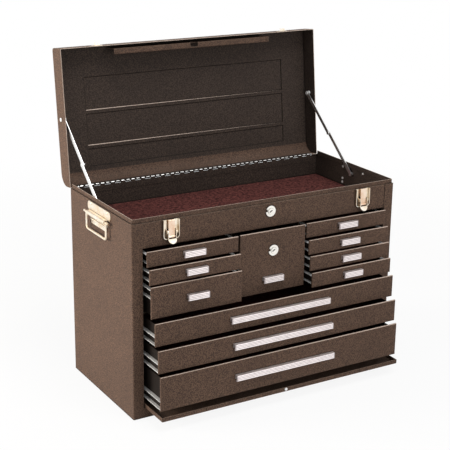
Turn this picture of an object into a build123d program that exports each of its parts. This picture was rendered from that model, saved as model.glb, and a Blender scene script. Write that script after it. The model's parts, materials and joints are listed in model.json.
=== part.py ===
from build123d import *
import os
from dataclasses import dataclass
from math import atan2, cos, degrees, hypot, radians, sin

# Machinist's chest of folded steel sheet: eleven drawers, a felt-lined till under a
# lid held open by two folding stays, and a drop front panel stowed in its slot below
# the drawers.  Millimetres.  X runs along the width, Y to the back and Z up; the
# origin is the centre of the cabinet's bottom face.  Drawn with the lid open, each
# drawer pulled out a little, and the front panel in its slot.

# --- cabinet -----------------------------------------------------------------------
CHEST_WIDTH = 663.6            # 26 1/8 in
CHEST_DEPTH = 306.4            # 12 1/16 in
CABINET_HEIGHT = 434.4         # top of the outer panels, where the lid's skirt starts
SHEET = 1.2                    # steel of cabinet and lid
BEND_RADIUS = 3.0              # outside radius of the upright corners
STILE_WIDTH = 24.3
STILE_RETURN = 12.0            # fold behind each stile
SILL_HEIGHT = 22.0
RIM_HEIGHT = 9.5               # joggled rim that the skirt slides over
RIM_INSET = 2.4
FLANGE = 12.0                  # folded edge of the shelves and dividers
FOLD_RADIUS = 1.6              # middle of the sheet at a fold
DIVIDER_FOLD = 0.8

# --- drawers -----------------------------------------------------------------------
OPENING_GAP = 2.5              # stile to drawer front
WIDE_BOTTOM = 45.0
WIDE_SHARES = (76.5, 50.5, 50.5)    # heights of the fronts against each other
WIDE_GAP = 4.5
WIDE_OUT = (73.0, 64.0, 50.0)
BANK_RISE = 4.7                # top wide drawer to the first small one
ROW_SHARE = 33.5               # one row of small drawers, against WIDE_SHARES
ROW_GAP = 2.2
ROWS = 4
LEFT_OUT = (33.0, 27.0, 16.0)
RIGHT_OUT = (38.0, 29.0, 22.0, 10.5)
CENTRE_WIDTH = 166.0
CENTRE_OUT = 13.6
DIVIDER_SPACE = 6.0            # between the fronts on either side of a divider
FRONT_LIP = 3.5                # depth of the folded edge round a drawer front
FRONT_RADIUS = 1.2
PAN_SHEET = 1.0
PAN_DEPTH = 276.0
PAN_DROP = 8.0                 # front's top edge to the pan's top edge
OVERHANG = 9.0                 # front beyond the pan at each side
LINER = 1.6                    # felt in the drawers

# --- slides ------------------------------------------------------------------------
RUNNER_HEIGHT = 19.0
RUNNER_WIDTH = 8.0
WIDE_RUNNER_RISE = 1.0
RAIL_LIP = 13.0
RAIL_LENGTH = 272.0
SLIDE_FIT = 0.3                # runner over rail
SIDE_FIT = 0.8                 # runner beside rail

# --- pulls -------------------------------------------------------------------------
SHORT_PULL = 50.8              # 2 in
LONG_PULL = 254.0              # 10 in
PULL_FACE = 12.5
PULL_REACH = 8.0
PULL_SHEET = 1.4
PULL_FOOT = 8.0
PULL_CURL = 3.5
CENTRE_PULL_RISE = 37.5        # the centre drawer's lower edge to its pull's top

# --- drop front panel ----------------------------------------------------------------
PANEL_BOTTOM = 24.0
PANEL_EDGE = 9.5
PANEL_LENGTH = 348.0
PANEL_OUT = 79.4
PANEL_GAP = 1.3                # stile to panel
STUD_RADIUS = 3.4
PANEL_HOLE_RADIUS = 3.0
PANEL_HOLE_PLACE = 200.0
GUIDE_WIDTH = 30.0

# --- till --------------------------------------------------------------------------
TILL_HEIGHT = 55.4             # fixed panel of the till, up to the cabinet's top
TILL_RETURN = 14.0
TILL_LAP = 12.0                # panel behind each stile
FELT = 2.0
FELT_MARGIN = 1.5

# --- lid ---------------------------------------------------------------------------
LID_HEIGHT = 45.0
LID_OPEN = 96.4                # degrees from closed
LID_SEAM = 0.4                 # skirt above the cabinet's panels
LID_REAR_RADIUS = 28.0
LID_FRONT_RADIUS = 7.0
EMBOSS_DEPTH = 1.6
EMBOSS_HALF = 264.0
EMBOSS_BANDS = ((33.0, 76.0), (81.0, 155.5), (160.5, 238.0))
LOCK_BAR_LENGTH = 406.0
LOCK_BAR_WIDTH = 13.0
LOCK_BAR_SETBACK = 22.0        # from the lid's front face to its near edge
LOCK_BAR_LIP = 9.0
LOCK_BAR_NOTCH = 20.0
LOCK_BAR_RISE = 1.5            # above the skirt's edge

# --- hinge -------------------------------------------------------------------------
HINGE_LENGTH = 622.3           # 24 1/2 in
KNUCKLE_PITCH = 12.7
KNUCKLE_RADIUS = 2.4
KNUCKLE_SIDES = 12
KNUCKLE_BORE_SIDES = 8
KNUCKLE_GAP = 1.5
HINGE_PIN_RADIUS = 1.0
HINGE_PIN_FIT = 0.3
HINGE_LEAF = 16.0
HINGE_NOTCH_GAP = 0.6
PIN_HEAD = 3.0

# --- stays -------------------------------------------------------------------------
STAY_FOOT_Y = 3.0
STAY_FOOT_DROP = 16.4          # below the cabinet's top
STAY_LID_REACH = 150.0         # hinge line to the lid's pivot
STAY_LID_RISE = 24.0
LINK_WIDTH = 9.0
LINK_THICK = 1.8
LINK_GAP = 0.4
LINK_CLEARANCE = 1.0           # lower link to the rim
ELBOW_HEAD_THICK = 0.6
PIVOT_RADIUS = 2.2
PIVOT_FIT = 0.3
PIVOT_HEAD = 4.4
PIVOT_HEAD_THICK = 1.3

# --- latches -----------------------------------------------------------------------
LATCH_INSET = 88.8             # the chest's end to the latch's middle
LATCH_WIDTH = 37.0
LATCH_LENGTH = 40.5
LATCH_TOP_DROP = 0.9           # below the cabinet's top
LATCH_CORNER = 7.0
LATCH_RIM = 6.4                # raised edge round the plate, from the panel's face
LATCH_SHEET = 1.2
LATCH_PIVOT_DROP = 26.4
LATCH_PIVOT_REACH = 6.0
LATCH_THROW = 10.0             # lever's pivot to the strap's pivot
EAR_HALF = 10.2                # inside face of the base's ears
EAR_RADIUS = 4.2
EAR_ROOT = 13.0
CHEEK_GAP = 0.6
CHEEK_RADIUS = 4.2
CHEEK_LAP = 3.0                # cheeks beside the tongue
TONGUE_START = 3.6             # strap's pin to the tongue, so the strap can fold past
TONGUE_FLAT = 1.4
TONGUE_TILT = 25.0             # degrees outwards
LATCH_PIN_RADIUS = 1.3
STRAP_WIDTH = 14.6
STRAP_LENGTH = 35.6
STRAP_LIP = 3.2
STRAP_BARREL_WALL = 1.0
CATCH_WIDTH = 25.0
CATCH_HEIGHT = 9.0
CATCH_HOOK_WIDTH = 12.0
CATCH_REACH = 7.0
CATCH_LIP = 4.5
CATCH_RISE = 1.2

# --- locks -------------------------------------------------------------------------
LOCK_FLANGE_RADIUS = 12.2
LOCK_FLANGE = 2.2
LOCK_BODY_RADIUS = 9.3
LOCK_HOLE_FIT = 0.3
LOCK_BODY_LENGTH = 18.0
LOCK_PLUG_RADIUS = 6.6
LOCK_PLUG_FIT = 0.3
LOCK_PLUG_PROUD = 0.8
KEYWAY_WIDTH = 2.4
KEYWAY_HEIGHT = 8.0
KEYWAY_DEPTH = 6.0
KEYWAY_TILT = 60.0             # degrees from upright
LOCK_NOTCH = 6.0               # cut in the flange's left edge
LOCK_NOTCH_DEPTH = 4.2
LOCK_NOTCH_RISE = 2.0          # above the lock's middle
CAM_LENGTH = 15.0
CAM_WIDTH = 9.0
CAM_THICK = 2.0
TILL_LOCK_DROP = 18.6
DRAWER_LOCK_DROP = 45.0        # below the centre drawer's top edge

# --- handles -----------------------------------------------------------------------
HANDLE_PIVOT_DROP = 24.4
HANDLE_PIVOT_REACH = 8.0
HANDLE_PLATE_LENGTH = 113.0
HANDLE_PLATE_TOP = 23.0        # above the pivot
HANDLE_SHEET = 1.5
HANDLE_CORNER = 8.5
BARREL_LENGTH = 88.0
BARREL_RADIUS = 4.6
LEAF_LENGTH = 80.0
LEAF_DROP = 24.0               # below the pivot
LEAF_RIBS = (9.0, 14.5)        # below the pivot
LEAF_RIB_RADIUS = 1.8
BAIL_WIRE = 2.6
BAIL_SIDES = 12
BAIL_FIT = 0.3
BAIL_HALF = 48.6               # middle of each arm
BAIL_DROP = 36.5
BAIL_CORNER = 7.0
BAIL_PIN = 60.0                # half the length over the pivot's ends
RIVET_RADIUS = 3.0
RIVET_SIDES = 12
RIVET_HEIGHT = 1.3
HANDLE_RIVET_Y = 40.0
HANDLE_RIVET_RISES = (18.5, -10.6, -20.0)

# --- worked out from the sizes above -------------------------------------------------
FRONT_Y = -CHEST_DEPTH / 2
REAR_Y = CHEST_DEPTH / 2
SIDE_X = CHEST_WIDTH / 2
INNER_X = SIDE_X - SHEET
INNER_REAR_Y = REAR_Y - SHEET
CORNER_Y = REAR_Y - BEND_RADIUS
OPENING_HALF = SIDE_X - STILE_WIDTH
WIDE_HALF = OPENING_HALF - OPENING_GAP
TILL_BOTTOM = CABINET_HEIGHT - TILL_HEIGHT
BANK_TOP = TILL_BOTTOM - ROW_GAP
WIDE_GAPS = WIDE_GAP * (len(WIDE_SHARES) - 1)
FRONTS_HEIGHT = BANK_TOP - WIDE_BOTTOM - WIDE_GAPS - BANK_RISE - ROW_GAP * (ROWS - 1)
SHARE = FRONTS_HEIGHT / (sum(WIDE_SHARES) + ROWS * ROW_SHARE)
ROW_HEIGHT = ROW_SHARE * SHARE
WIDE_TOP = WIDE_BOTTOM + sum(WIDE_SHARES) * SHARE + WIDE_GAPS
BANK_BOTTOM = WIDE_TOP + BANK_RISE
DIVIDER_X = CENTRE_WIDTH / 2 + DIVIDER_SPACE / 2
BANK_INNER = CENTRE_WIDTH / 2 + DIVIDER_SPACE
SHELF_TOP = BANK_BOTTOM - (BANK_RISE - SHEET) / 2
TILL_FLOOR_TOP = TILL_BOTTOM + 2 * SHEET
TILL_FACE_Y = FRONT_Y + SHEET
RIM_TOP = CABINET_HEIGHT + RIM_HEIGHT
HINGE_Y = REAR_Y
HINGE_Z = CABINET_HEIGHT
PIVOT_Z = CABINET_HEIGHT - HANDLE_PIVOT_DROP
LATCH_PIVOT_Z = CABINET_HEIGHT - LATCH_PIVOT_DROP
LATCH_PLACE = SIDE_X - LATCH_INSET


@dataclass(frozen=True)
class Bay:
    """One drawer's place: the outline of its front and how far it is pulled out."""

    name: str
    left: float
    right: float
    bottom: float
    top: float
    out: float
    runner_bottom: float
    pull_length: float
    left_wall: float
    right_wall: float


def row_bottom(row):
    """Height of the lower edge of a small drawer's row, counted from the lowest."""
    return BANK_BOTTOM + row * (ROW_HEIGHT + ROW_GAP)


def row_runner(row):
    """Height of the lower edge of the runners in a row."""
    return row_bottom(row) + (ROW_HEIGHT - RUNNER_HEIGHT) / 2


def wide_bays():
    """The full-width drawers, from the lowest."""
    bays = []
    bottom = WIDE_BOTTOM
    for name, share, out in zip(("lower", "middle", "upper"), WIDE_SHARES, WIDE_OUT):
        height = share * SHARE
        bays.append(Bay(f"wide_{name}", -WIDE_HALF, WIDE_HALF, bottom, bottom + height, out,
                        bottom + WIDE_RUNNER_RISE, LONG_PULL, -INNER_X, INNER_X))
        bottom += height + WIDE_GAP
    return bays


def small_bay(name, side, first_row, last_row, out):
    """A small drawer that spans the given rows, on the left (-1) or right (1)."""
    inner, outer = sorted((side * BANK_INNER, side * WIDE_HALF))
    walls = sorted((side * (DIVIDER_X + SHEET / 2), side * INNER_X))
    return Bay(name, inner, outer, row_bottom(first_row), row_bottom(last_row) + ROW_HEIGHT, out,
               row_runner(last_row), SHORT_PULL, walls[0], walls[1])


def all_bays():
    """Every drawer of the chest."""
    bays = wide_bays()
    bays.append(small_bay("left_lower", -1, 0, 1, LEFT_OUT[0]))
    bays.append(small_bay("left_middle", -1, 2, 2, LEFT_OUT[1]))
    bays.append(small_bay("left_upper", -1, 3, 3, LEFT_OUT[2]))
    for row, out in enumerate(RIGHT_OUT):
        bays.append(small_bay(f"right_row_{row + 1}", 1, row, row, out))
    face = DIVIDER_X - SHEET / 2
    bays.append(Bay("centre", -CENTRE_WIDTH / 2, CENTRE_WIDTH / 2, BANK_BOTTOM, BANK_TOP, CENTRE_OUT,
                    row_runner(1), SHORT_PULL, -face, face))
    return bays


# --- shared forms --------------------------------------------------------------------
def block(x0, x1, y0, y1, z0, z1):
    """Solid between two corners."""
    return Pos((x0 + x1) / 2, (y0 + y1) / 2, (z0 + z1) / 2) * Box(x1 - x0, y1 - y0, z1 - z0)


def rod_x(radius, x0, x1, y, z):
    """Round bar along X."""
    return Pos((x0 + x1) / 2, y, z) * Rot(0, 90, 0) * Cylinder(radius, x1 - x0)


def rod_y(radius, y0, y1, x, z):
    """Round bar along Y."""
    return Pos(x, (y0 + y1) / 2, z) * Rot(90, 0, 0) * Cylinder(radius, y1 - y0)


def boss_x(radius, x0, x1, y, z):
    """Short round piece along X, drawn with flat sides."""
    return Pos((x0 + x1) / 2, 0, 0) * extrude(
        Plane.YZ * Pos(y, z) * RegularPolygon(radius, RIVET_SIDES), (x1 - x0) / 2, both=True)


def folded_along_y(points, thickness, y0, y1, radius=FOLD_RADIUS):
    """Folded sheet whose section, given in X and Z, is drawn out along Y."""
    section = trace(FilletPolyline(*points, radius=radius), thickness)
    return Pos(0, (y0 + y1) / 2, 0) * extrude(Plane.XZ * section, (y1 - y0) / 2, both=True)


def creased_along_y(points, thickness, y0, y1):
    """Thin sheet with sharp folds whose section, given in X and Z, is drawn out along Y."""
    section = trace(Polyline(*points), thickness)
    return Pos(0, (y0 + y1) / 2, 0) * extrude(Plane.XZ * section, (y1 - y0) / 2, both=True)


def folded_along_x(points, thickness, x0, x1, radius=FOLD_RADIUS):
    """Folded sheet whose section, given in Y and Z, is drawn out along X."""
    section = trace(FilletPolyline(*points, radius=radius), thickness)
    return Pos((x0 + x1) / 2, 0, 0) * extrude(Plane.YZ * section, (x1 - x0) / 2, both=True)


def upright_tube(width, depth, height, radius, wall):
    """Four upright walls with rounded corners, standing on Z = 0."""
    outer = RectangleRounded(width, depth, radius)
    inner = RectangleRounded(width - 2 * wall, depth - 2 * wall, max(radius - wall, wall))
    return extrude(outer - inner, height)


def both_sides(shape):
    """The shape and its mirror image on the other side of the chest."""
    return [shape, mirror(shape, Plane.YZ)]


def turned_round(shape):
    """The shape turned half way round the upright axis, onto the other side of the chest."""
    return Rot(0, 0, 180) * shape


# --- cabinet -----------------------------------------------------------------------
def cabinet_shell():
    """Floor, walls, stiles, sill and the joggled rim, all of one sheet."""
    walls = upright_tube(CHEST_WIDTH, CHEST_DEPTH, CABINET_HEIGHT, BEND_RADIUS, SHEET)
    floor = extrude(RectangleRounded(CHEST_WIDTH, CHEST_DEPTH, BEND_RADIUS), SHEET)
    rim_width = CHEST_WIDTH - 2 * RIM_INSET
    rim_depth = CHEST_DEPTH - 2 * RIM_INSET
    ledge = Pos(0, 0, CABINET_HEIGHT - SHEET) * upright_tube(
        CHEST_WIDTH, CHEST_DEPTH, SHEET, BEND_RADIUS, RIM_INSET + SHEET)
    rim = Pos(0, 0, CABINET_HEIGHT - SHEET) * upright_tube(
        rim_width, rim_depth, RIM_HEIGHT + SHEET, BEND_RADIUS, SHEET)
    shell = walls + floor + ledge + rim
    shell -= block(-OPENING_HALF, OPENING_HALF, FRONT_Y - SHEET, TILL_FACE_Y, SILL_HEIGHT, CABINET_HEIGHT)
    rear_clear = INNER_REAR_Y - RIM_INSET - 2 * SHEET
    shell -= block(-SIDE_X, SIDE_X, rear_clear, REAR_Y + SHEET, CABINET_HEIGHT, RIM_TOP + SHEET)
    hinge_half = HINGE_LENGTH / 2 + PIN_HEAD + HINGE_NOTCH_GAP
    notch_bottom = HINGE_Z - KNUCKLE_RADIUS - HINGE_NOTCH_GAP
    shell -= block(-hinge_half, hinge_half, rear_clear, REAR_Y + SHEET, notch_bottom, RIM_TOP)
    for side in (-1, 1):
        x0, x1 = sorted((side * OPENING_HALF, side * (OPENING_HALF + SHEET)))
        shell += block(x0, x1, FRONT_Y, FRONT_Y + STILE_RETURN, SHEET, TILL_BOTTOM - SHEET)
    shell += block(-OPENING_HALF, OPENING_HALF, FRONT_Y, FRONT_Y + STILE_RETURN, SILL_HEIGHT - SHEET, SILL_HEIGHT)
    return shell


def till_front_panel():
    """Fixed panel behind the stiles, in front of the till, with its lower edge folded back."""
    middle = TILL_FACE_Y + SHEET / 2
    points = [(middle, CABINET_HEIGHT - SHEET), (middle, TILL_BOTTOM + SHEET / 2),
              (middle + TILL_RETURN, TILL_BOTTOM + SHEET / 2)]
    panel = folded_along_x(points, SHEET, -OPENING_HALF - TILL_LAP, OPENING_HALF + TILL_LAP)
    hole = rod_y(LOCK_BODY_RADIUS + LOCK_HOLE_FIT, FRONT_Y, FRONT_Y + STILE_RETURN,
                 0, CABINET_HEIGHT - TILL_LOCK_DROP)
    return panel - hole


def flanged_shelf(top, front_y):
    """Shelf across the cabinet with its side edges folded down onto the walls."""
    outer = INNER_X - SHEET / 2
    points = [(-outer, top - FLANGE), (-outer, top - SHEET / 2), (outer, top - SHEET / 2),
              (outer, top - FLANGE)]
    return folded_along_y(points, SHEET, front_y, CORNER_Y)


def till_floor():
    """Shelf that carries the felt, resting on the till panel's fold."""
    return flanged_shelf(TILL_FLOOR_TOP, TILL_FACE_Y + SHEET + FOLD_RADIUS)


def till_felt():
    """Felt sheet on the till's floor."""
    y0 = TILL_FACE_Y + SHEET + FELT_MARGIN
    y1 = INNER_REAR_Y - FELT_MARGIN
    half = INNER_X - FELT_MARGIN
    outline = RectangleRounded(2 * half, y1 - y0, FELT_MARGIN)
    return Pos(0, (y0 + y1) / 2, TILL_FLOOR_TOP) * extrude(outline, FELT)


def drawer_shelf():
    """Shelf between the wide drawers and the small ones."""
    return flanged_shelf(SHELF_TOP, FRONT_Y + STILE_RETURN)


def drawer_dividers():
    """Two upright walls beside the centre drawer, each with a fold on shelf and till floor."""
    bottom = SHELF_TOP + SHEET / 2
    top = TILL_FLOOR_TOP - 3 * SHEET / 2
    points = [(DIVIDER_X + FLANGE / 2, bottom), (DIVIDER_X, bottom), (DIVIDER_X, top),
              (DIVIDER_X + FLANGE / 2, top)]
    front_y = TILL_FACE_Y + TILL_RETURN + 2 * SHEET
    wall = folded_along_y(points, SHEET, front_y, CORNER_Y, radius=DIVIDER_FOLD)
    return both_sides(wall)


def rail(wall_x, inner_x, top):
    """Channel rail from a wall to inside a drawer's runner, open downwards."""
    toward = 1 if inner_x > wall_x else -1
    foot = wall_x + toward * SHEET / 2
    lip = inner_x - toward * SHEET / 2
    points = [(foot, top - RAIL_LIP), (foot, top - SHEET / 2), (lip, top - SHEET / 2), (lip, top - RAIL_LIP)]
    return creased_along_y(points, SHEET, CORNER_Y - RAIL_LENGTH, CORNER_Y)


def drawer_rails(bay):
    """The two rails that a drawer slides on."""
    top = bay.runner_bottom + RUNNER_HEIGHT - PAN_SHEET - SLIDE_FIT
    reach = OVERHANG - PAN_SHEET - SIDE_FIT
    return [rail(bay.left_wall, bay.left + reach, top), rail(bay.right_wall, bay.right - reach, top)]


def panel_guides():
    """Ledges on the side walls that the stowed front panel slides on."""
    top = PANEL_BOTTOM - SLIDE_FIT
    foot = INNER_X - SHEET / 2
    points = [(foot, top - FLANGE), (foot, top - SHEET / 2), (foot - GUIDE_WIDTH, top - SHEET / 2)]
    guide = creased_along_y(points, SHEET, FRONT_Y + STILE_RETURN, CORNER_Y)
    return both_sides(guide)


def cabinet_rails():
    """All the rails and guides inside the cabinet."""
    rails = [piece for bay in all_bays() for piece in drawer_rails(bay)]
    return rails + panel_guides()


def cabinet_rivets():
    """Heads inside the walls of the rivets that hold the two handles."""
    heads = []
    for rise in HANDLE_RIVET_RISES:
        for y in (-HANDLE_RIVET_Y, HANDLE_RIVET_Y):
            head = boss_x(RIVET_RADIUS, INNER_X - RIVET_HEIGHT, INNER_X, y, PIVOT_Z + rise)
            heads += both_sides(head)
    return heads


# --- lid and hinge -------------------------------------------------------------------
def opened(shape):
    """Turn a shape drawn with the lid closed into the lid's open place."""
    return Pos(0, HINGE_Y, HINGE_Z) * Rot(-LID_OPEN, 0, 0) * Pos(0, -HINGE_Y, -HINGE_Z) * shape


def lid_section(inset):
    """Side outline of the closed lid, drawn in by the inset on the closed sides."""
    front = FRONT_Y + inset
    rear = REAR_Y - inset
    top = CABINET_HEIGHT + LID_HEIGHT - inset
    bottom = CABINET_HEIGHT + LID_SEAM
    front_radius = LID_FRONT_RADIUS - inset
    rear_radius = LID_REAR_RADIUS - inset
    edges = [
        Line((front, bottom), (front, top - front_radius)),
        RadiusArc((front, top - front_radius), (front + front_radius, top), front_radius),
        Line((front + front_radius, top), (rear - rear_radius, top)),
        RadiusArc((rear - rear_radius, top), (rear, top - rear_radius), rear_radius),
        Line((rear, top - rear_radius), (rear, bottom)),
        Line((rear, bottom), (front, bottom)),
    ]
    return Plane.YZ * make_face(edges)


def emboss(near, far, inset):
    """One raised field of the lid's top, with sloping edges."""
    length = far - near - 2 * inset
    width = 2 * (EMBOSS_HALF - inset)
    field = extrude(Rectangle(width, length), EMBOSS_DEPTH + inset, taper=45)
    top = CABINET_HEIGHT + LID_HEIGHT - inset
    return Pos(0, HINGE_Y - (near + far) / 2, top) * field


def lid_shell():
    """Pressed lid: rounded rear and front edges, end walls and three raised fields."""
    outer = extrude(lid_section(0), SIDE_X, both=True)
    inner = extrude(lid_section(SHEET), INNER_X, both=True)
    shell = outer - inner
    for near, far in EMBOSS_BANDS:
        shell += emboss(near, far, 0)
    for near, far in EMBOSS_BANDS:
        shell -= emboss(near, far, SHEET) & block(-SIDE_X, SIDE_X, FRONT_Y, REAR_Y,
                                                   CABINET_HEIGHT + LID_HEIGHT - 2 * SHEET,
                                                   CABINET_HEIGHT + LID_HEIGHT + EMBOSS_DEPTH - SHEET)
    hinge_half = HINGE_LENGTH / 2 + PIN_HEAD + HINGE_NOTCH_GAP
    shell -= block(-hinge_half, hinge_half, INNER_REAR_Y - SHEET, REAR_Y + SHEET,
                   CABINET_HEIGHT, HINGE_Z + KNUCKLE_RADIUS + HINGE_NOTCH_GAP)
    return opened(shell)


def lid_lock_bar():
    """Folded strip behind the lid's front wall, notched for the lock's bolt."""
    near = FRONT_Y + LOCK_BAR_SETBACK - SHEET / 2
    far = near - LOCK_BAR_WIDTH + SHEET
    face = CABINET_HEIGHT + LID_SEAM + LOCK_BAR_RISE + SHEET / 2
    points = [(near, face + LOCK_BAR_LIP), (near, face), (far, face),
              (far, CABINET_HEIGHT + LID_HEIGHT - SHEET)]
    bar = folded_along_x(points, SHEET, -LOCK_BAR_LENGTH / 2, LOCK_BAR_LENGTH / 2, radius=FOLD_RADIUS)
    notch = block(-LOCK_BAR_NOTCH / 2, LOCK_BAR_NOTCH / 2, far - SHEET, near - 2 * SHEET,
                  face - SHEET, face + LOCK_BAR_LIP)
    return opened(bar - notch)


def knuckle_spans(first):
    """Ends along X of every second knuckle, from the first or the second one."""
    count = round(HINGE_LENGTH / KNUCKLE_PITCH)
    start = -count * KNUCKLE_PITCH / 2
    return [(start + i * KNUCKLE_PITCH, start + (i + 1) * KNUCKLE_PITCH) for i in range(first, count, 2)]


def hinge_leaf(first, upward):
    """Leaf of the piano hinge with its own knuckles, drawn with the lid closed."""
    half = round(HINGE_LENGTH / KNUCKLE_PITCH) * KNUCKLE_PITCH / 2
    y0 = HINGE_Y - KNUCKLE_RADIUS
    relief = HINGE_Z + upward * (KNUCKLE_RADIUS + KNUCKLE_GAP)
    z0, z1 = sorted((relief, HINGE_Z + upward * HINGE_LEAF))
    leaf = block(-half, half, y0, y0 + SHEET, z0, z1)
    web = Pos(y0 + SHEET / 2, (HINGE_Z + relief) / 2) * Rectangle(SHEET, abs(relief - HINGE_Z))
    outline = web + Pos(HINGE_Y, HINGE_Z) * RegularPolygon(KNUCKLE_RADIUS, KNUCKLE_SIDES)
    outline -= Pos(HINGE_Y, HINGE_Z) * RegularPolygon(
        HINGE_PIN_RADIUS + HINGE_PIN_FIT, KNUCKLE_BORE_SIDES, major_radius=False)
    knuckle = extrude(Plane.YZ * outline, (KNUCKLE_PITCH - KNUCKLE_GAP) / 2, both=True)
    return leaf + [Pos((x0 + x1) / 2, 0, 0) * knuckle for x0, x1 in knuckle_spans(first)]


def hinge_body_leaf():
    """Leaf riveted inside the cabinet's rear wall."""
    return hinge_leaf(0, -1)


def hinge_lid_leaf():
    """Leaf riveted inside the lid's rear wall."""
    return opened(hinge_leaf(1, 1))


def hinge_pin():
    """Pin through every knuckle, with a small head at each end."""
    half = round(HINGE_LENGTH / KNUCKLE_PITCH) * KNUCKLE_PITCH / 2
    pin = rod_x(HINGE_PIN_RADIUS, -half, half, HINGE_Y, HINGE_Z)
    for side in (-1, 1):
        x0, x1 = sorted((side * half, side * (half + PIN_HEAD)))
        pin += rod_x(KNUCKLE_RADIUS, x0, x1, HINGE_Y, HINGE_Z)
    return pin


# --- stays -------------------------------------------------------------------------
def lid_point(reach, rise):
    """Place in Y and Z, with the lid open, of a point given from the hinge line."""
    turn = radians(LID_OPEN)
    y = HINGE_Y - reach * cos(turn) + rise * sin(turn)
    z = HINGE_Z + reach * sin(turn) + rise * cos(turn)
    return y, z


def stay_points():
    """Foot, elbow and lid pivot of a stay that stands straight."""
    foot = (STAY_FOOT_Y, CABINET_HEIGHT - STAY_FOOT_DROP)
    head = lid_point(STAY_LID_REACH, STAY_LID_RISE)
    elbow = ((foot[0] + head[0]) / 2, (foot[1] + head[1]) / 2)
    return foot, elbow, head


def lower_link_face():
    """Outer X face of the lower link, just inside the cabinet's rim."""
    return SIDE_X - RIM_INSET - SHEET - LINK_CLEARANCE


def stay_link(start, end, outer_x, bored_end, head_side):
    """Flat link with round ends: one end bored for its pivot, a rivet's head at the elbow."""
    length = hypot(end[0] - start[0], end[1] - start[1])
    tilt = degrees(atan2(end[1] - start[1], end[0] - start[0]))
    centre = ((start[0] + end[0]) / 2, (start[1] + end[1]) / 2)
    outline = Pos(*centre) * Rot(0, 0, tilt) * SlotCenterToCenter(length, LINK_WIDTH)
    outline -= Pos(*bored_end) * Circle(PIVOT_RADIUS + PIVOT_FIT)
    link = Pos(outer_x - LINK_THICK, 0, 0) * extrude(Plane.YZ * outline, LINK_THICK)
    elbow = end if bored_end == start else start
    if head_side > 0:
        link += boss_x(PIVOT_HEAD, outer_x, outer_x + ELBOW_HEAD_THICK, *elbow)
    else:
        inner = outer_x - LINK_THICK
        link += boss_x(PIVOT_HEAD, inner - PIVOT_HEAD_THICK, inner, *elbow)
    return link


def stay_lower(side):
    """Link from the cabinet's wall to the elbow."""
    foot, elbow, _ = stay_points()
    link = stay_link(foot, elbow, lower_link_face(), foot, 1)
    return link if side > 0 else mirror(link, Plane.YZ)


def stay_upper(side):
    """Link from the elbow to the lid's end wall."""
    _, elbow, head = stay_points()
    link = stay_link(elbow, head, lower_link_face() - LINK_THICK - LINK_GAP, head, -1)
    return link if side > 0 else mirror(link, Plane.YZ)


def pivot_stud(place, link_outer_x):
    """Shouldered stud from a side wall through a link, with a head inside it."""
    inner = link_outer_x - LINK_THICK - PIVOT_FIT
    stud = rod_x(PIVOT_RADIUS, inner - PIVOT_HEAD_THICK, INNER_X, *place)
    stud += boss_x(PIVOT_HEAD, inner - PIVOT_HEAD_THICK, inner, *place)
    stud += boss_x(PIVOT_HEAD, link_outer_x + PIVOT_FIT, INNER_X, *place)
    return stud


def stay_brackets():
    """Studs on the cabinet's walls that the lower links turn on."""
    foot, _, _ = stay_points()
    return both_sides(pivot_stud(foot, lower_link_face()))


def lid_stay_studs():
    """Studs inside the lid's end walls, and the rivets' heads outside them."""
    _, _, head = stay_points()
    stud = pivot_stud(head, lower_link_face() - LINK_THICK - LINK_GAP)
    rivet = boss_x(PIVOT_HEAD, SIDE_X, SIDE_X + RIVET_HEIGHT, *head)
    return both_sides(stud) + both_sides(rivet)


# --- latches -----------------------------------------------------------------------
def on_till(x, reach, z):
    """Place on the till's front: a distance out from the panel's face."""
    return Pos(x, TILL_FACE_Y - reach, z)


def latch_outline(inset):
    """Outline of a latch's plate, round at the lower corners, drawn in at sides and bottom."""
    outline = Pos(0, inset / 2) * Rectangle(LATCH_WIDTH - 2 * inset, LATCH_LENGTH - inset)
    return fillet(outline.vertices().group_by(Axis.Y)[0], LATCH_CORNER - inset)


def latch_base(x):
    """Pan with a raised edge, open where the lever passes, and two ears that carry the lever."""
    top = CABINET_HEIGHT - LATCH_TOP_DROP
    bottom = top - LATCH_LENGTH
    rim = extrude(Plane.XZ * (latch_outline(0) - latch_outline(LATCH_SHEET)), LATCH_RIM)
    pan = on_till(x, 0, (top + bottom) / 2) * (extrude(Plane.XZ * latch_outline(0), LATCH_SHEET) + rim)
    base = pan - block(x - EAR_HALF, x + EAR_HALF, TILL_FACE_Y - LATCH_RIM, TILL_FACE_Y - LATCH_SHEET,
                       bottom, bottom + 2 * LATCH_SHEET)
    root_y = TILL_FACE_Y - LATCH_SHEET
    pivot_y = TILL_FACE_Y - LATCH_PIVOT_REACH
    ear = Plane.YZ * (Pos(pivot_y, LATCH_PIVOT_Z) * Circle(EAR_RADIUS) + make_face(Polyline(
        (root_y, LATCH_PIVOT_Z - EAR_ROOT / 2), (root_y, LATCH_PIVOT_Z + EAR_ROOT / 2),
        (pivot_y, LATCH_PIVOT_Z + EAR_RADIUS), (pivot_y, LATCH_PIVOT_Z - EAR_RADIUS), close=True)))
    for side in (-1, 1):
        middle = x + side * (EAR_HALF + LATCH_SHEET / 2)
        base += Pos(middle, 0, 0) * extrude(ear, LATCH_SHEET / 2, both=True)
    reach = EAR_HALF + 2 * LATCH_SHEET
    return base - rod_x(LATCH_PIN_RADIUS + PIVOT_FIT, x - reach, x + reach, pivot_y, LATCH_PIVOT_Z)


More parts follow.
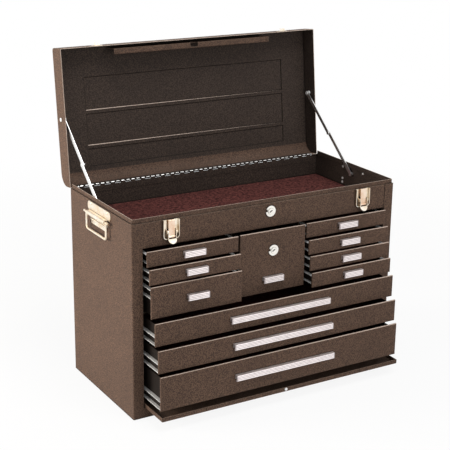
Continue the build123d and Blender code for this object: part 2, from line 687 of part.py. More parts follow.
def latch_lever(x):
    """Lever with a flared tongue, two cheeks, its stub pivots and the strap's pin."""
    outer = EAR_HALF - CHEEK_GAP
    pivot_y = TILL_FACE_Y - LATCH_PIVOT_REACH
    strap_z = LATCH_PIVOT_Z - LATCH_THROW
    start = strap_z - TONGUE_START
    bend = start - TONGUE_FLAT
    face_y = pivot_y - CHEEK_RADIUS
    cheek = Pos(pivot_y, (LATCH_PIVOT_Z + strap_z) / 2) * Rot(0, 0, 90) * SlotCenterToCenter(
        LATCH_THROW, 2 * CHEEK_RADIUS)
    cheek += Pos(face_y + CHEEK_LAP / 2, (strap_z + bend) / 2) * Rectangle(CHEEK_LAP, strap_z - bend)
    cheek = Plane.YZ * cheek
    lever = block(x - outer, x + outer, face_y, face_y + LATCH_SHEET, bend, start)
    middle_y = face_y + LATCH_SHEET / 2
    tip = Plane.XZ * (Circle(outer) & Pos(0, -outer / 2) * Rectangle(2 * outer, outer))
    lever += Pos(x, middle_y, bend) * Rot(-TONGUE_TILT, 0, 0) * extrude(tip, LATCH_SHEET / 2, both=True)
    lever += rod_x(LATCH_SHEET / 2, x - outer, x + outer, middle_y, bend)
    for side in (-1, 1):
        middle = x + side * (outer - LATCH_SHEET / 2)
        lever += Pos(middle, 0, 0) * extrude(cheek, LATCH_SHEET / 2, both=True)
        x0, x1 = sorted((x + side * (outer - LATCH_SHEET), x + side * (EAR_HALF + LATCH_SHEET + PIVOT_FIT)))
        lever += rod_x(LATCH_PIN_RADIUS, x0, x1, pivot_y, LATCH_PIVOT_Z)
    return lever + rod_x(LATCH_PIN_RADIUS, x - outer, x + outer, pivot_y, strap_z)


def latch_strap(x):
    """Strap that turns on the lever's pin and hooks over the lid's catch."""
    pivot_y = TILL_FACE_Y - LATCH_PIVOT_REACH
    strap_z = LATCH_PIVOT_Z - LATCH_THROW
    bore = LATCH_PIN_RADIUS + PIVOT_FIT
    barrel_radius = bore + STRAP_BARREL_WALL
    half = STRAP_WIDTH / 2
    tip = strap_z + STRAP_LENGTH
    points = [(pivot_y, strap_z), (pivot_y, tip), (pivot_y + STRAP_LIP, tip)]
    strap = folded_along_x(points, LATCH_SHEET, x - half, x + half, radius=LATCH_SHEET)
    strap += rod_x(barrel_radius, x - half, x + half, pivot_y, strap_z)
    return strap - rod_x(bore, x - half, x + half, pivot_y, strap_z)


def lid_catch(x):
    """Plate on the lid's front wall with an upturned hook."""
    bottom = CABINET_HEIGHT + LID_SEAM + CATCH_RISE
    plate = block(x - CATCH_WIDTH / 2, x + CATCH_WIDTH / 2, FRONT_Y - LATCH_SHEET, FRONT_Y,
                  bottom, bottom + CATCH_HEIGHT)
    middle = bottom + LATCH_SHEET / 2
    lip_y = FRONT_Y - CATCH_REACH + LATCH_SHEET / 2
    points = [(FRONT_Y, middle), (lip_y, middle), (lip_y, bottom + CATCH_LIP)]
    hook = folded_along_x(points, LATCH_SHEET, x - CATCH_HOOK_WIDTH / 2, x + CATCH_HOOK_WIDTH / 2,
                          radius=LATCH_SHEET)
    return opened(plate + hook)


# --- locks -------------------------------------------------------------------------
def lock_case(face_y, z):
    """Round flange and body of a lock, set in a panel whose face is at the given Y."""
    case = rod_y(LOCK_FLANGE_RADIUS, face_y - LOCK_FLANGE, face_y, 0, z)
    notch_z = z + LOCK_NOTCH_RISE
    case -= block(-LOCK_FLANGE_RADIUS, LOCK_NOTCH_DEPTH - LOCK_FLANGE_RADIUS, face_y - LOCK_FLANGE, face_y,
                  notch_z - LOCK_NOTCH / 2, notch_z + LOCK_NOTCH / 2)
    case += rod_y(LOCK_BODY_RADIUS, face_y, face_y + LOCK_BODY_LENGTH, 0, z)
    return case - rod_y(LOCK_PLUG_RADIUS + LOCK_PLUG_FIT, face_y - 2 * LOCK_FLANGE,
                        face_y + LOCK_BODY_LENGTH + LOCK_FLANGE, 0, z)


def lock_plug(face_y, z):
    """Plug with its keyway, and the cam on its tail."""
    front = face_y - LOCK_FLANGE - LOCK_PLUG_PROUD
    tail = face_y + LOCK_BODY_LENGTH + PIVOT_FIT
    plug = rod_y(LOCK_PLUG_RADIUS, front, tail, 0, z)
    plug -= Pos(0, front + KEYWAY_DEPTH / 2, z) * Rot(0, KEYWAY_TILT, 0) * Box(
        KEYWAY_WIDTH, KEYWAY_DEPTH, KEYWAY_HEIGHT)
    outline = Pos(0, z - CAM_LENGTH / 2) * Rot(0, 0, 90) * SlotOverall(CAM_LENGTH + CAM_WIDTH, CAM_WIDTH)
    return plug + Pos(0, tail + CAM_THICK, 0) * extrude(Plane.XZ * outline, CAM_THICK)


# --- drawers -----------------------------------------------------------------------
def drawer_front(bay, face_y):
    """Folded front with softened edges and a shallow lip behind."""
    centre_x = (bay.left + bay.right) / 2
    centre_z = (bay.bottom + bay.top) / 2
    slab = Box(bay.right - bay.left, FRONT_LIP, bay.top - bay.bottom)
    slab = fillet(slab.faces().sort_by(Axis.Y)[0].edges(), FRONT_RADIUS)
    front = Pos(centre_x, face_y + FRONT_LIP / 2, centre_z) * slab
    return front - block(bay.left + PAN_SHEET, bay.right - PAN_SHEET, face_y + PAN_SHEET,
                         face_y + FRONT_LIP + PAN_SHEET, bay.bottom + PAN_SHEET, bay.top - PAN_SHEET)


def drawer_pan(bay, face_y):
    """Open tray behind the front."""
    left = bay.left + OVERHANG
    right = bay.right - OVERHANG
    y0 = face_y + PAN_SHEET
    y1 = y0 + PAN_DEPTH
    bottom = bay.bottom + PAN_SHEET
    tray = block(left, right, y0, y1, bottom, bay.top - PAN_DROP)
    return tray - block(left + PAN_SHEET, right - PAN_SHEET, y0, y1 - PAN_SHEET, bottom + PAN_SHEET, bay.top)


def runner(bay, face_y, side):
    """Plated channel on a pan's side that slides over its rail."""
    pan_x = bay.left + OVERHANG if side < 0 else bay.right - OVERHANG
    web = pan_x + side * PAN_SHEET / 2
    edge = pan_x + side * RUNNER_WIDTH
    low = bay.runner_bottom + PAN_SHEET / 2
    high = bay.runner_bottom + RUNNER_HEIGHT - PAN_SHEET / 2
    points = [(edge, low), (web, low), (web, high), (edge, high)]
    return creased_along_y(points, PAN_SHEET, face_y + FRONT_LIP + SLIDE_FIT, face_y + PAN_DEPTH)


def drawer_liner(bay, face_y):
    """Felt on the drawer's floor."""
    return block(bay.left + OVERHANG + 2 * PAN_SHEET, bay.right - OVERHANG - 2 * PAN_SHEET,
                 face_y + 2 * PAN_SHEET, face_y + PAN_DEPTH - PAN_SHEET,
                 bay.bottom + 2 * PAN_SHEET, bay.bottom + 2 * PAN_SHEET + LINER)


def drawer(bay):
    """One drawer: its folded steel, its two runners and its felt."""
    face_y = FRONT_Y - bay.out
    steel = drawer_front(bay, face_y) + drawer_pan(bay, face_y)
    if bay.name == "centre":
        steel -= rod_y(LOCK_BODY_RADIUS + LOCK_HOLE_FIT, face_y - PAN_SHEET, face_y + 2 * FRONT_LIP,
                       0, bay.top - DRAWER_LOCK_DROP)
    return [steel, runner(bay, face_y, -1), runner(bay, face_y, 1), drawer_liner(bay, face_y)]


def pull_top(bay):
    """Height of the upper edge of a drawer's pull: low on the centre drawer, else half way up."""
    if bay.name == "centre":
        return bay.bottom + CENTRE_PULL_RISE
    return (bay.bottom + bay.top) / 2 + PULL_FACE / 2


def drawer_pull(bay):
    """Plated finger pull: a foot on the front, a shelf outwards and a curled face."""
    face_y = FRONT_Y - bay.out
    centre_x = (bay.left + bay.right) / 2
    top = pull_top(bay)
    foot = face_y - PULL_SHEET / 2
    nose = face_y - PULL_REACH + PULL_SHEET / 2
    shelf = top - PULL_SHEET / 2
    points = [(foot, shelf - PULL_FOOT), (foot, shelf), (nose, shelf), (nose, top - PULL_FACE),
              (nose + PULL_CURL, top - PULL_FACE)]
    section = Plane.YZ * trace(Polyline(*points), PULL_SHEET)
    return Pos(centre_x, 0, 0) * extrude(section, bay.pull_length / 2, both=True)


# --- drop front panel ----------------------------------------------------------------
def front_panel():
    """Panel lying in its slot, its edges folded up, with a stud and two holes in front."""
    half = OPENING_HALF - PANEL_GAP
    y0 = FRONT_Y - PANEL_OUT
    y1 = y0 + PANEL_LENGTH
    middle = PANEL_BOTTOM + SHEET / 2
    edge = half - SHEET / 2
    points = [(-edge, PANEL_BOTTOM + PANEL_EDGE), (-edge, middle), (edge, middle),
              (edge, PANEL_BOTTOM + PANEL_EDGE)]
    panel = folded_along_y(points, SHEET, y0, y1)
    for y in (y0, y1 - SHEET):
        panel += block(-half + FOLD_RADIUS, half - FOLD_RADIUS, y, y + SHEET,
                       PANEL_BOTTOM + SHEET / 2, PANEL_BOTTOM + PANEL_EDGE)
    hole_z = PANEL_BOTTOM + (PANEL_EDGE + SHEET) / 2
    for x in (-PANEL_HOLE_PLACE, PANEL_HOLE_PLACE):
        panel -= rod_y(PANEL_HOLE_RADIUS, y0 - SHEET, y0 + 2 * SHEET, x, hole_z)
    return panel


def front_panel_stud():
    """Round stud in the middle of the panel's front edge."""
    y0 = FRONT_Y - PANEL_OUT
    return rod_y(STUD_RADIUS, y0 - RIVET_HEIGHT, y0, 0, PANEL_BOTTOM + (PANEL_EDGE + SHEET) / 2)


# --- handles -----------------------------------------------------------------------
def handle_plate():
    """Right-hand plate: riveted flange, rolled barrel and a narrower ribbed leaf."""
    pivot_x = SIDE_X + HANDLE_PIVOT_REACH
    top = PIVOT_Z + HANDLE_PLATE_TOP
    shelf = PIVOT_Z + BARREL_RADIUS - HANDLE_SHEET
    flange = extrude(Plane.YZ * Rectangle(HANDLE_PLATE_LENGTH, top - shelf), HANDLE_SHEET)
    flange = fillet(flange.edges().filter_by(Axis.X), HANDLE_CORNER)
    plate = Pos(SIDE_X, 0, (top + shelf) / 2) * flange
    plate += block(SIDE_X, pivot_x, -BARREL_LENGTH / 2, BARREL_LENGTH / 2, shelf, shelf + HANDLE_SHEET)
    plate += rod_y(BARREL_RADIUS, -BARREL_LENGTH / 2, BARREL_LENGTH / 2, pivot_x, PIVOT_Z)
    plate += block(SIDE_X, SIDE_X + HANDLE_SHEET, -LEAF_LENGTH / 2, LEAF_LENGTH / 2, PIVOT_Z - LEAF_DROP, shelf)
    for drop in LEAF_RIBS:
        plate += rod_y(LEAF_RIB_RADIUS, -LEAF_LENGTH / 2, LEAF_LENGTH / 2, SIDE_X + HANDLE_SHEET, PIVOT_Z - drop)
    plate &= block(SIDE_X, pivot_x + 2 * BARREL_RADIUS, -CHEST_DEPTH / 2, CHEST_DEPTH / 2, 0, RIM_TOP)
    return plate - rod_y(BAIL_WIRE + BAIL_FIT, -BARREL_LENGTH, BARREL_LENGTH, pivot_x, PIVOT_Z)


def handle_bail():
    """Right-hand wire loop that turns in the barrel and hangs from it."""
    pivot_x = SIDE_X + HANDLE_PIVOT_REACH
    low = PIVOT_Z - BAIL_DROP
    path = FilletPolyline((pivot_x, -BAIL_HALF, PIVOT_Z), (pivot_x, -BAIL_HALF, low),
                          (pivot_x, BAIL_HALF, low), (pivot_x, BAIL_HALF, PIVOT_Z), radius=BAIL_CORNER)
    start = Plane(origin=path @ 0, z_dir=path % 0)
    loop = sweep(start * RegularPolygon(BAIL_WIRE, BAIL_SIDES), path=path)
    return loop + rod_y(BAIL_WIRE, -BAIL_PIN, BAIL_PIN, pivot_x, PIVOT_Z)


# --- every node of the chest ---------------------------------------------------------
def chest_nodes():
    """Name and shapes of each node."""
    till_lock_z = CABINET_HEIGHT - TILL_LOCK_DROP
    drawer_lock_z = BANK_TOP - DRAWER_LOCK_DROP
    drawer_face = FRONT_Y - CENTRE_OUT
    nodes = {
        "cabinet_shell": cabinet_shell(),
        "till_front_panel": till_front_panel(),
        "till_floor": till_floor(),
        "till_felt": till_felt(),
        "drawer_shelf": drawer_shelf(),
        "drawer_dividers": drawer_dividers(),
        "cabinet_rails": cabinet_rails(),
        "cabinet_rivets": cabinet_rivets(),
        "hinge_body_leaf": hinge_body_leaf(),
        "hinge_lid_leaf": hinge_lid_leaf(),
        "hinge_pin": hinge_pin(),
        "lid_shell": lid_shell(),
        "lid_lock_bar": lid_lock_bar(),
        "lid_catches": [lid_catch(-LATCH_PLACE), lid_catch(LATCH_PLACE)],
        "lid_stay_studs": lid_stay_studs(),
        "stay_brackets": stay_brackets(),
        "latch_bases": [latch_base(-LATCH_PLACE), latch_base(LATCH_PLACE)],
        "till_lock_case": lock_case(TILL_FACE_Y, till_lock_z),
        "till_lock_plug": lock_plug(TILL_FACE_Y, till_lock_z),
        "drawer_lock_case": lock_case(drawer_face, drawer_lock_z),
        "drawer_lock_plug": lock_plug(drawer_face, drawer_lock_z),
        "handle_plates": [turned_round(handle_plate()), handle_plate()],
        "front_panel": front_panel(),
        "front_panel_stud": front_panel_stud(),
    }
    nodes["handle_bail_left"] = turned_round(handle_bail())
    nodes["handle_bail_right"] = handle_bail()
    for name, side in (("left", -1), ("right", 1)):
        nodes[f"stay_lower_{name}"] = stay_lower(side)
        nodes[f"stay_upper_{name}"] = stay_upper(side)
        nodes[f"latch_lever_{name}"] = latch_lever(side * LATCH_PLACE)
        nodes[f"latch_strap_{name}"] = latch_strap(side * LATCH_PLACE)
    for bay in all_bays():
        nodes[f"drawer_{bay.name}"] = drawer(bay)
        nodes[f"pull_{bay.name}"] = drawer_pull(bay)
    return nodes


def main():
    """Write one STEP file for each node."""
    os.makedirs("parts", exist_ok=True)
    for name, shapes in chest_nodes().items():
        shape = Compound(children=list(shapes)) if isinstance(shapes, list) else shapes
        export_step(shape, f"parts/{name}.step")


if __name__ == "__main__":
    main()
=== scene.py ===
"""Dresses the machinist's chest: paint, felt, plating, small hardware, studio and camera."""

import json
import logging
import math
from dataclasses import dataclass, field
from enum import Enum
from typing import Callable, Sequence

import bmesh
import bpy
from mathutils import Matrix, Vector, noise

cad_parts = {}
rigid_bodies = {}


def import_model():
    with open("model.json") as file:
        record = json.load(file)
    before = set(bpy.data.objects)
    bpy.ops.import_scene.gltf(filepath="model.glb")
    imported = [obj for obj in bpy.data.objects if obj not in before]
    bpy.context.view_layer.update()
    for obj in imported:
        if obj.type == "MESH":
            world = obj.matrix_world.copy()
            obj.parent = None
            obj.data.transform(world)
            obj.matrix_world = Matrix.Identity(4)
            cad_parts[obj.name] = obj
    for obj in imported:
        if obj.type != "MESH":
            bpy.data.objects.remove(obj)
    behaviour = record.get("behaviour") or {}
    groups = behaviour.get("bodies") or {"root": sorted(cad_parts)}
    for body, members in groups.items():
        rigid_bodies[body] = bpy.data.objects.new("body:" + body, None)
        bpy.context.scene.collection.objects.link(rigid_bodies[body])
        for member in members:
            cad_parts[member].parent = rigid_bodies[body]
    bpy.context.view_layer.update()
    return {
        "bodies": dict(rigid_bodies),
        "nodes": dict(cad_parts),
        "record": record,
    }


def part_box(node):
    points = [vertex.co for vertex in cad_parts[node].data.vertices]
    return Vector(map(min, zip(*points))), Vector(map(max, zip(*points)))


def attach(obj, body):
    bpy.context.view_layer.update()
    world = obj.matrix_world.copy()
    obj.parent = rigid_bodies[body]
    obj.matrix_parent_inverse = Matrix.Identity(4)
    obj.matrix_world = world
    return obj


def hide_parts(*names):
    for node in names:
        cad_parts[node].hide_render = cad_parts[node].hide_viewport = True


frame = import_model()

LOG = logging.getLogger("chest")
MM = 0.001
Colour = tuple[float, float, float]
Point = tuple[float, float, float]
Box = tuple[Vector, Vector]
Socket, Node, NodeTree = bpy.types.NodeSocket, bpy.types.Node, bpy.types.NodeTree
Material, Mesh, Object = bpy.types.Material, bpy.types.Mesh, bpy.types.Object
WHITE = (1.0, 1.0, 1.0, 1.0)

SQUARE_ON = 0.9           # least share of the normal on a face that looks straight that way
HALF_ON = 0.5             # the same for a face that looks roughly that way
LID_OPEN = 96.4           # degrees from shut, at rest
ROUND_ANGLE = 60.0        # least turn, in degrees, of a sharp edge on domes and felt
SHEET_WALL = 1.2 * MM     # thickness of the cabinet's and the lid's steel

# Noise scales, in features to the metre, and levels that a mask spreads over 0 to 1.
OFF_GRID = (0.5, 0.7, 0.3)
RELIEF_SHARES = (0.6, 0.4)
SPECKLE_SHARES, SPECKLE_LEVELS = (0.3, 0.7), (0.45, 0.57)
TONE_SCALE, TONE_LEVELS = 7.0, (0.3, 0.7)
WEAR_SCALE, WEAR_LEVELS = 90.0, (0.25, 0.75)
CREVICE_SHADE_LEVELS = (0.08, 0.5)
DUST_SCALE, DUST_LEVELS, DUST_SLOPES = 30.0, (0.3, 0.8), (0.55, 1.0)
DRAWN_SCALE, DRAWN_STRETCH = 1500.0, (0.06, 1.0, 1.0)
CLOUD_SCALE, CLOUD_LEVELS = 60.0, (0.3, 0.75)
FIBRE_SCALE, FIBRE_STRETCHES = 1300.0, ((1.0, 0.25, 1.0), (0.25, 1.0, 1.0))
NAP_SCALE, NAP_SHARE = 420.0, 0.45
MOTTLE_SCALE, MOTTLE_SHARE = 170.0, 0.55
FELT_LEVELS = (0.42, 0.6)


class Slot(Enum):
    """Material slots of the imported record."""

    PAINT = "brown_paint"
    FELT = "felt"
    PULL = "pull_plate"
    NICKEL = "nickel_plate"
    ZINC = "zinc_plate"
    LOCK = "lock_nickel"


class Side(Enum):
    """The two ends of the chest, as seen from the front."""

    LEFT = -1
    RIGHT = 1

    @property
    def word(self) -> str:
        """Name of the side as the bodies use it."""
        return self.name.lower()


# --- node trees ---
class Graph:
    """A node tree with short ways to add nodes and join them."""

    def __init__(self, tree: NodeTree) -> None:
        """Wrap a tree.

        Args:
            tree: The material's, group's or modifier's node tree.
        """
        self.tree = tree

    def add(self, kind: str, inputs: dict | None = None, **settings: object) -> Node:
        """Add a node.

        Args:
            kind: Blender's type name of the node.
            inputs: Values or sockets for the node's inputs, by name or number.
            **settings: Properties of the node itself.

        Returns:
            The new node.
        """
        node = self.tree.nodes.new(kind)
        for key, value in settings.items():
            setattr(node, key, value)
        for key, value in (inputs or {}).items():
            if isinstance(value, Socket):
                self.tree.links.new(value, node.inputs[key])
            else:
                node.inputs[key].default_value = value
        return node

    def join(self, source: Socket, target: Socket) -> None:
        """Link one socket to another."""
        self.tree.links.new(source, target)

    def group(self, tree: NodeTree, inputs: dict) -> Node:
        """Add a shared shader group, with values or sockets for its inputs."""
        return self.add("ShaderNodeGroup", inputs, node_tree=tree)

    def calc(self, operation: str, a: object, b: object = 0.0, clamp: bool = False) -> Socket:
        """Work on two numbers with a Math node.

        Args:
            operation: Blender's name of the operation.
            a: First number or socket.
            b: Second number or socket.
            clamp: Whether the result is kept from 0 to 1.

        Returns:
            The result's socket.
        """
        node = self.add("ShaderNodeMath", {0: a, 1: b}, operation=operation, use_clamp=clamp)
        return node.outputs[0]

    def product(self, a: object, b: object, clamp: bool = False) -> Socket:
        """Multiply two numbers or sockets, kept from 0 to 1 if clamped."""
        return self.calc("MULTIPLY", a, b, clamp)

    def blend(self, factor: object, a: object, b: object) -> Socket:
        """Mix two colours.

        Args:
            factor: Share of the second colour.
            a: First colour or socket.
            b: Second colour or socket.

        Returns:
            The mixed colour's socket.
        """
        node = self.add("ShaderNodeMix", data_type="RGBA")
        for index, value in ((0, factor), (6, a), (7, b)):
            if isinstance(value, Socket):
                self.tree.links.new(value, node.inputs[index])
            else:
                node.inputs[index].default_value = value
        return node.outputs[2]

    def ramp(self, value: Socket, low: float, high: float) -> Socket:
        """Spread the part of a value between two levels over 0 to 1.

        Args:
            value: The value's socket.
            low: Level that becomes 0.
            high: Level that becomes 1.

        Returns:
            The spread value's socket.
        """
        return self.add("ShaderNodeMapRange", {0: value, 1: low, 2: high}).outputs[0]

    def noise(self, vector: object, scale: object, detail: float = 2.0) -> Socket:
        """Noise of a scale, in features to the metre.

        Args:
            vector: The place's socket.
            scale: Features to the metre, or a socket.
            detail: Number of finer layers.

        Returns:
            The noise's socket, from 0 to 1.
        """
        inputs = {"Vector": vector, "Scale": scale, "Detail": detail}
        return self.add("ShaderNodeTexNoise", inputs).outputs[0]


def rgba(colour: Colour) -> tuple[float, float, float, float]:
    """The colour with full cover."""
    return (*colour, 1.0)


def shared_group(
        name: str, inputs: dict[str, object], outputs: Sequence[str],
        fill: Callable[[Graph, Node, Node], None]) -> NodeTree:
    """Make a shader node group once, and give the same one after that.

    Args:
        name: The group's name.
        inputs: Name and default of each input; None marks a vector.
        outputs: Name of each output.
        fill: Builds the group between its input and output nodes.

    Returns:
        The group.
    """
    found = bpy.data.node_groups.get(name)
    if found:
        return found
    tree = bpy.data.node_groups.new(name, "ShaderNodeTree")
    for key, default in inputs.items():
        kind = "NodeSocketVector" if default is None else "NodeSocketFloat"
        socket = tree.interface.new_socket(key, in_out="INPUT", socket_type=kind)
        if default is not None:
            socket.default_value = default
    for key in outputs:
        tree.interface.new_socket(key, in_out="OUTPUT", socket_type="NodeSocketFloat")
    graph = Graph(tree)
    fill(graph, graph.add("NodeGroupInput"), graph.add("NodeGroupOutput"))
    return tree


def turned(graph: Graph, place: Socket) -> Socket:
    """The place, turned so that no flat face lies along the noise's own grid."""
    return graph.add("ShaderNodeMapping", {"Vector": place, "Rotation": OFF_GRID}).outputs[0]


def wrinkle_grain() -> NodeTree:
    """Group for wrinkle paint: its relief, its fine speckle and its slow changes of tone."""

    def fill(graph: Graph, given: Node, result: Node) -> None:
        """Join the noises."""
        place, scale = turned(graph, given.outputs["Place"]), given.outputs["Scale"]
        coarse = graph.noise(place, scale, 3.0)
        cells = graph.add("ShaderNodeTexVoronoi", {"Vector": place, "Scale": scale},
                          feature="SMOOTH_F1").outputs[0]
        fine = graph.noise(place, scale, 1.0)
        broad = graph.noise(place, given.outputs["Speckle Scale"], 1.0)
        height, speck = (
            graph.calc("ADD", graph.product(a, shares[0]), graph.product(b, shares[1]))
            for a, b, shares in ((coarse, cells, RELIEF_SHARES), (fine, broad, SPECKLE_SHARES)))
        tone = graph.noise(place, TONE_SCALE, 3.0)
        graph.join(height, result.inputs["Height"])
        graph.join(graph.ramp(speck, *SPECKLE_LEVELS), result.inputs["Speckle"])
        graph.join(graph.ramp(tone, *TONE_LEVELS), result.inputs["Tone"])

    return shared_group("wrinkle_grain", {"Place": None, "Scale": 700.0, "Speckle Scale": 400.0},
                        ("Height", "Speckle", "Tone"), fill)


def edge_wear() -> NodeTree:
    """Group for wear: a broken mask along the sharp edges."""

    def fill(graph: Graph, given: Node, result: Node) -> None:
        """Compare the rounded normal with the plain one."""
        rounded = graph.add("ShaderNodeBevel", {"Radius": given.outputs["Radius"]}, samples=4)
        plain = graph.add("ShaderNodeNewGeometry")
        dot = graph.add("ShaderNodeVectorMath", {0: rounded.outputs[0], 1: plain.outputs["Normal"]},
                        operation="DOT_PRODUCT")
        bend = graph.calc("SUBTRACT", 1.0, dot.outputs["Value"], clamp=True)
        broken = graph.ramp(graph.noise(given.outputs["Place"], WEAR_SCALE, 3.0), *WEAR_LEVELS)
        worn = graph.product(graph.product(bend, given.outputs["Amount"]), broken, clamp=True)
        graph.join(worn, result.inputs["Mask"])

    return shared_group("edge_wear", {"Place": None, "Radius": 1.2 * MM, "Amount": 2.0},
                        ("Mask",), fill)


def crevice_shade() -> NodeTree:
    """Group for painted shade: a darkening mask close beside whatever stands on the surface, where
    contact shadow falls.
    """

    def fill(graph: Graph, given: Node, result: Node) -> None:
        """Spread the short-range occlusion to a mask."""
        near = graph.add("ShaderNodeAmbientOcclusion", {"Distance": given.outputs["Reach"]},
                         samples=8)
        hidden = graph.calc("SUBTRACT", 1.0, near.outputs["AO"], clamp=True)
        mask = graph.product(graph.ramp(hidden, *CREVICE_SHADE_LEVELS), given.outputs["Amount"], clamp=True)
        graph.join(mask, result.inputs["Mask"])

    return shared_group("crevice_shade", {"Reach": 4.0 * MM, "Amount": 0.8}, ("Mask",), fill)


def settled_dust() -> NodeTree:
    """Group for dust: a mask on what lies level at rest, in soft patches."""

    def fill(graph: Graph, given: Node, result: Node) -> None:
        """Take the upward share of the normal, broken by noise."""
        normal = graph.add("ShaderNodeTexCoord").outputs["Normal"]
        up = graph.add("ShaderNodeSeparateXYZ", {0: normal}).outputs[2]
        patches = graph.ramp(graph.noise(given.outputs["Place"], DUST_SCALE, 4.0), *DUST_LEVELS)
        lying = graph.product(graph.ramp(up, *DUST_SLOPES), patches)
        graph.join(graph.product(lying, given.outputs["Amount"], clamp=True), result.inputs["Mask"])

    return shared_group("settled_dust", {"Place": None, "Amount": 0.3}, ("Mask",), fill)


def plating_marks() -> NodeTree:
    """Group for plated metal: fine drawn lines and cloudy patches."""

    def fill(graph: Graph, given: Node, result: Node) -> None:
        """Stretch one noise along the length for the lines."""
        place = given.outputs["Place"]
        drawn = graph.add("ShaderNodeMapping", {"Vector": place, "Scale": DRAWN_STRETCH})
        lines = graph.noise(drawn.outputs[0], DRAWN_SCALE, 2.0)
        graph.join(lines, result.inputs["Lines"])
        cloud = graph.ramp(graph.noise(place, CLOUD_SCALE, 3.0), *CLOUD_LEVELS)
        graph.join(cloud, result.inputs["Cloud"])

    return shared_group("plating_marks", {"Place": None}, ("Lines", "Cloud"), fill)


def felt_fibres() -> NodeTree:
    """Group for felt: tangled fibres and slow changes of tone."""

    def fill(graph: Graph, given: Node, result: Node) -> None:
        """Cross two stretched noises."""
        strands = []
        for scale in FIBRE_STRETCHES:
            turn = (0.0, 0.0, 0.5 * scale[0])
            laid = graph.add("ShaderNodeMapping", {"Vector": given.outputs["Place"], "Scale": scale,
                                                   "Rotation": turn}).outputs[0]
            strands.append(graph.noise(laid, FIBRE_SCALE, 3.0))
        tangle = graph.product(graph.calc("ADD", strands[0], strands[1]), 0.5)
        graph.join(tangle, result.inputs["Height"])
        place = turned(graph, given.outputs["Place"])
        nap = graph.product(graph.noise(place, NAP_SCALE, 2.0), NAP_SHARE)
        mottle = graph.product(graph.noise(place, MOTTLE_SCALE, 2.0), MOTTLE_SHARE)
        tone = graph.ramp(graph.calc("ADD", nap, mottle), *FELT_LEVELS)
        graph.join(tone, result.inputs["Tone"])

    return shared_group("felt_fibres", {"Place": None}, ("Height", "Tone"), fill)


# --- finishes ---
def new_material(name: str) -> tuple[Material, Graph, Node, Socket]:
    """Start a material.

    Args:
        name: The material's name.

    Returns:
        The material, its graph, its Principled node and the socket of places on the object.
    """
    material = bpy.data.materials.new(name)
    material.use_nodes = True
    graph = Graph(material.node_tree)
    place = graph.add("ShaderNodeTexCoord").outputs["Object"]
    return material, graph, material.node_tree.nodes["Principled BSDF"], place


def relief(graph: Graph, shader: Node, height: Socket,
           depth: float, strength: float) -> None:
    """Let a height roughen the shader's normal.

    Args:
        graph: The material's graph.
        shader: Its Principled node.
        height: The height's socket.
        depth: Depth of the relief in metres.
        strength: Share of the full effect.
    """
    bump = graph.add("ShaderNodeBump", {"Height": height, "Distance": depth, "Strength": strength})
    graph.join(bump.outputs[0], shader.inputs["Normal"])


@dataclass(frozen=True)
class WrinklePaint:
    """Baked wrinkle paint, with worn edges, a little dust and painted shade in crevices."""

    name: str
    body: Colour
    dark: Colour
    worn: Colour
    roughness: float = 0.6
    grain: float = 700.0
    speckle: float = 480.0
    dust: float = 0.15
    wear: float = 2.5
    contact_shade: float = 0.85
    contact_shade_reach: float = 4.5 * MM
    gloss: float = 0.12
    dust_tint: Colour = (0.22, 0.18, 0.15)
    contact_shade_tint: Colour = (0.006, 0.004, 0.003)
    tone: float = 0.35
    speckle_rough: float = 0.12
    depth: float = 0.35 * MM
    strength: float = 0.55

    def build(self) -> Material:
        """Make the material."""
        material, graph, shader, place = new_material(self.name)
        grain = graph.group(wrinkle_grain(), {"Place": place, "Scale": self.grain,
                                              "Speckle Scale": self.speckle})
        wear = graph.group(edge_wear(), {"Place": place, "Amount": self.wear})
        dust = graph.group(settled_dust(), {"Place": place, "Amount": self.dust})
        # Crevice mask: painted shade that darkens the paint beside whatever stands on it.
        contact_shade = graph.group(crevice_shade(), {"Reach": self.contact_shade_reach, "Amount": self.contact_shade})
        shader.inputs["Specular IOR Level"].default_value = self.gloss
        colour = graph.blend(grain.outputs["Speckle"], rgba(self.dark), rgba(self.body))
        layers = ((graph.product(grain.outputs["Tone"], self.tone), self.dark),
                  (wear.outputs["Mask"], self.worn), (dust.outputs["Mask"], self.dust_tint),
                  (contact_shade.outputs["Mask"], self.contact_shade_tint))
        for share, tint in layers:
            colour = graph.blend(share, colour, rgba(tint))
        graph.join(colour, shader.inputs["Base Color"])
        rough = graph.product(grain.outputs["Speckle"], self.speckle_rough)
        graph.join(graph.calc("ADD", rough, self.roughness), shader.inputs["Roughness"])
        relief(graph, shader, grain.outputs["Height"], self.depth, self.strength)
        return material


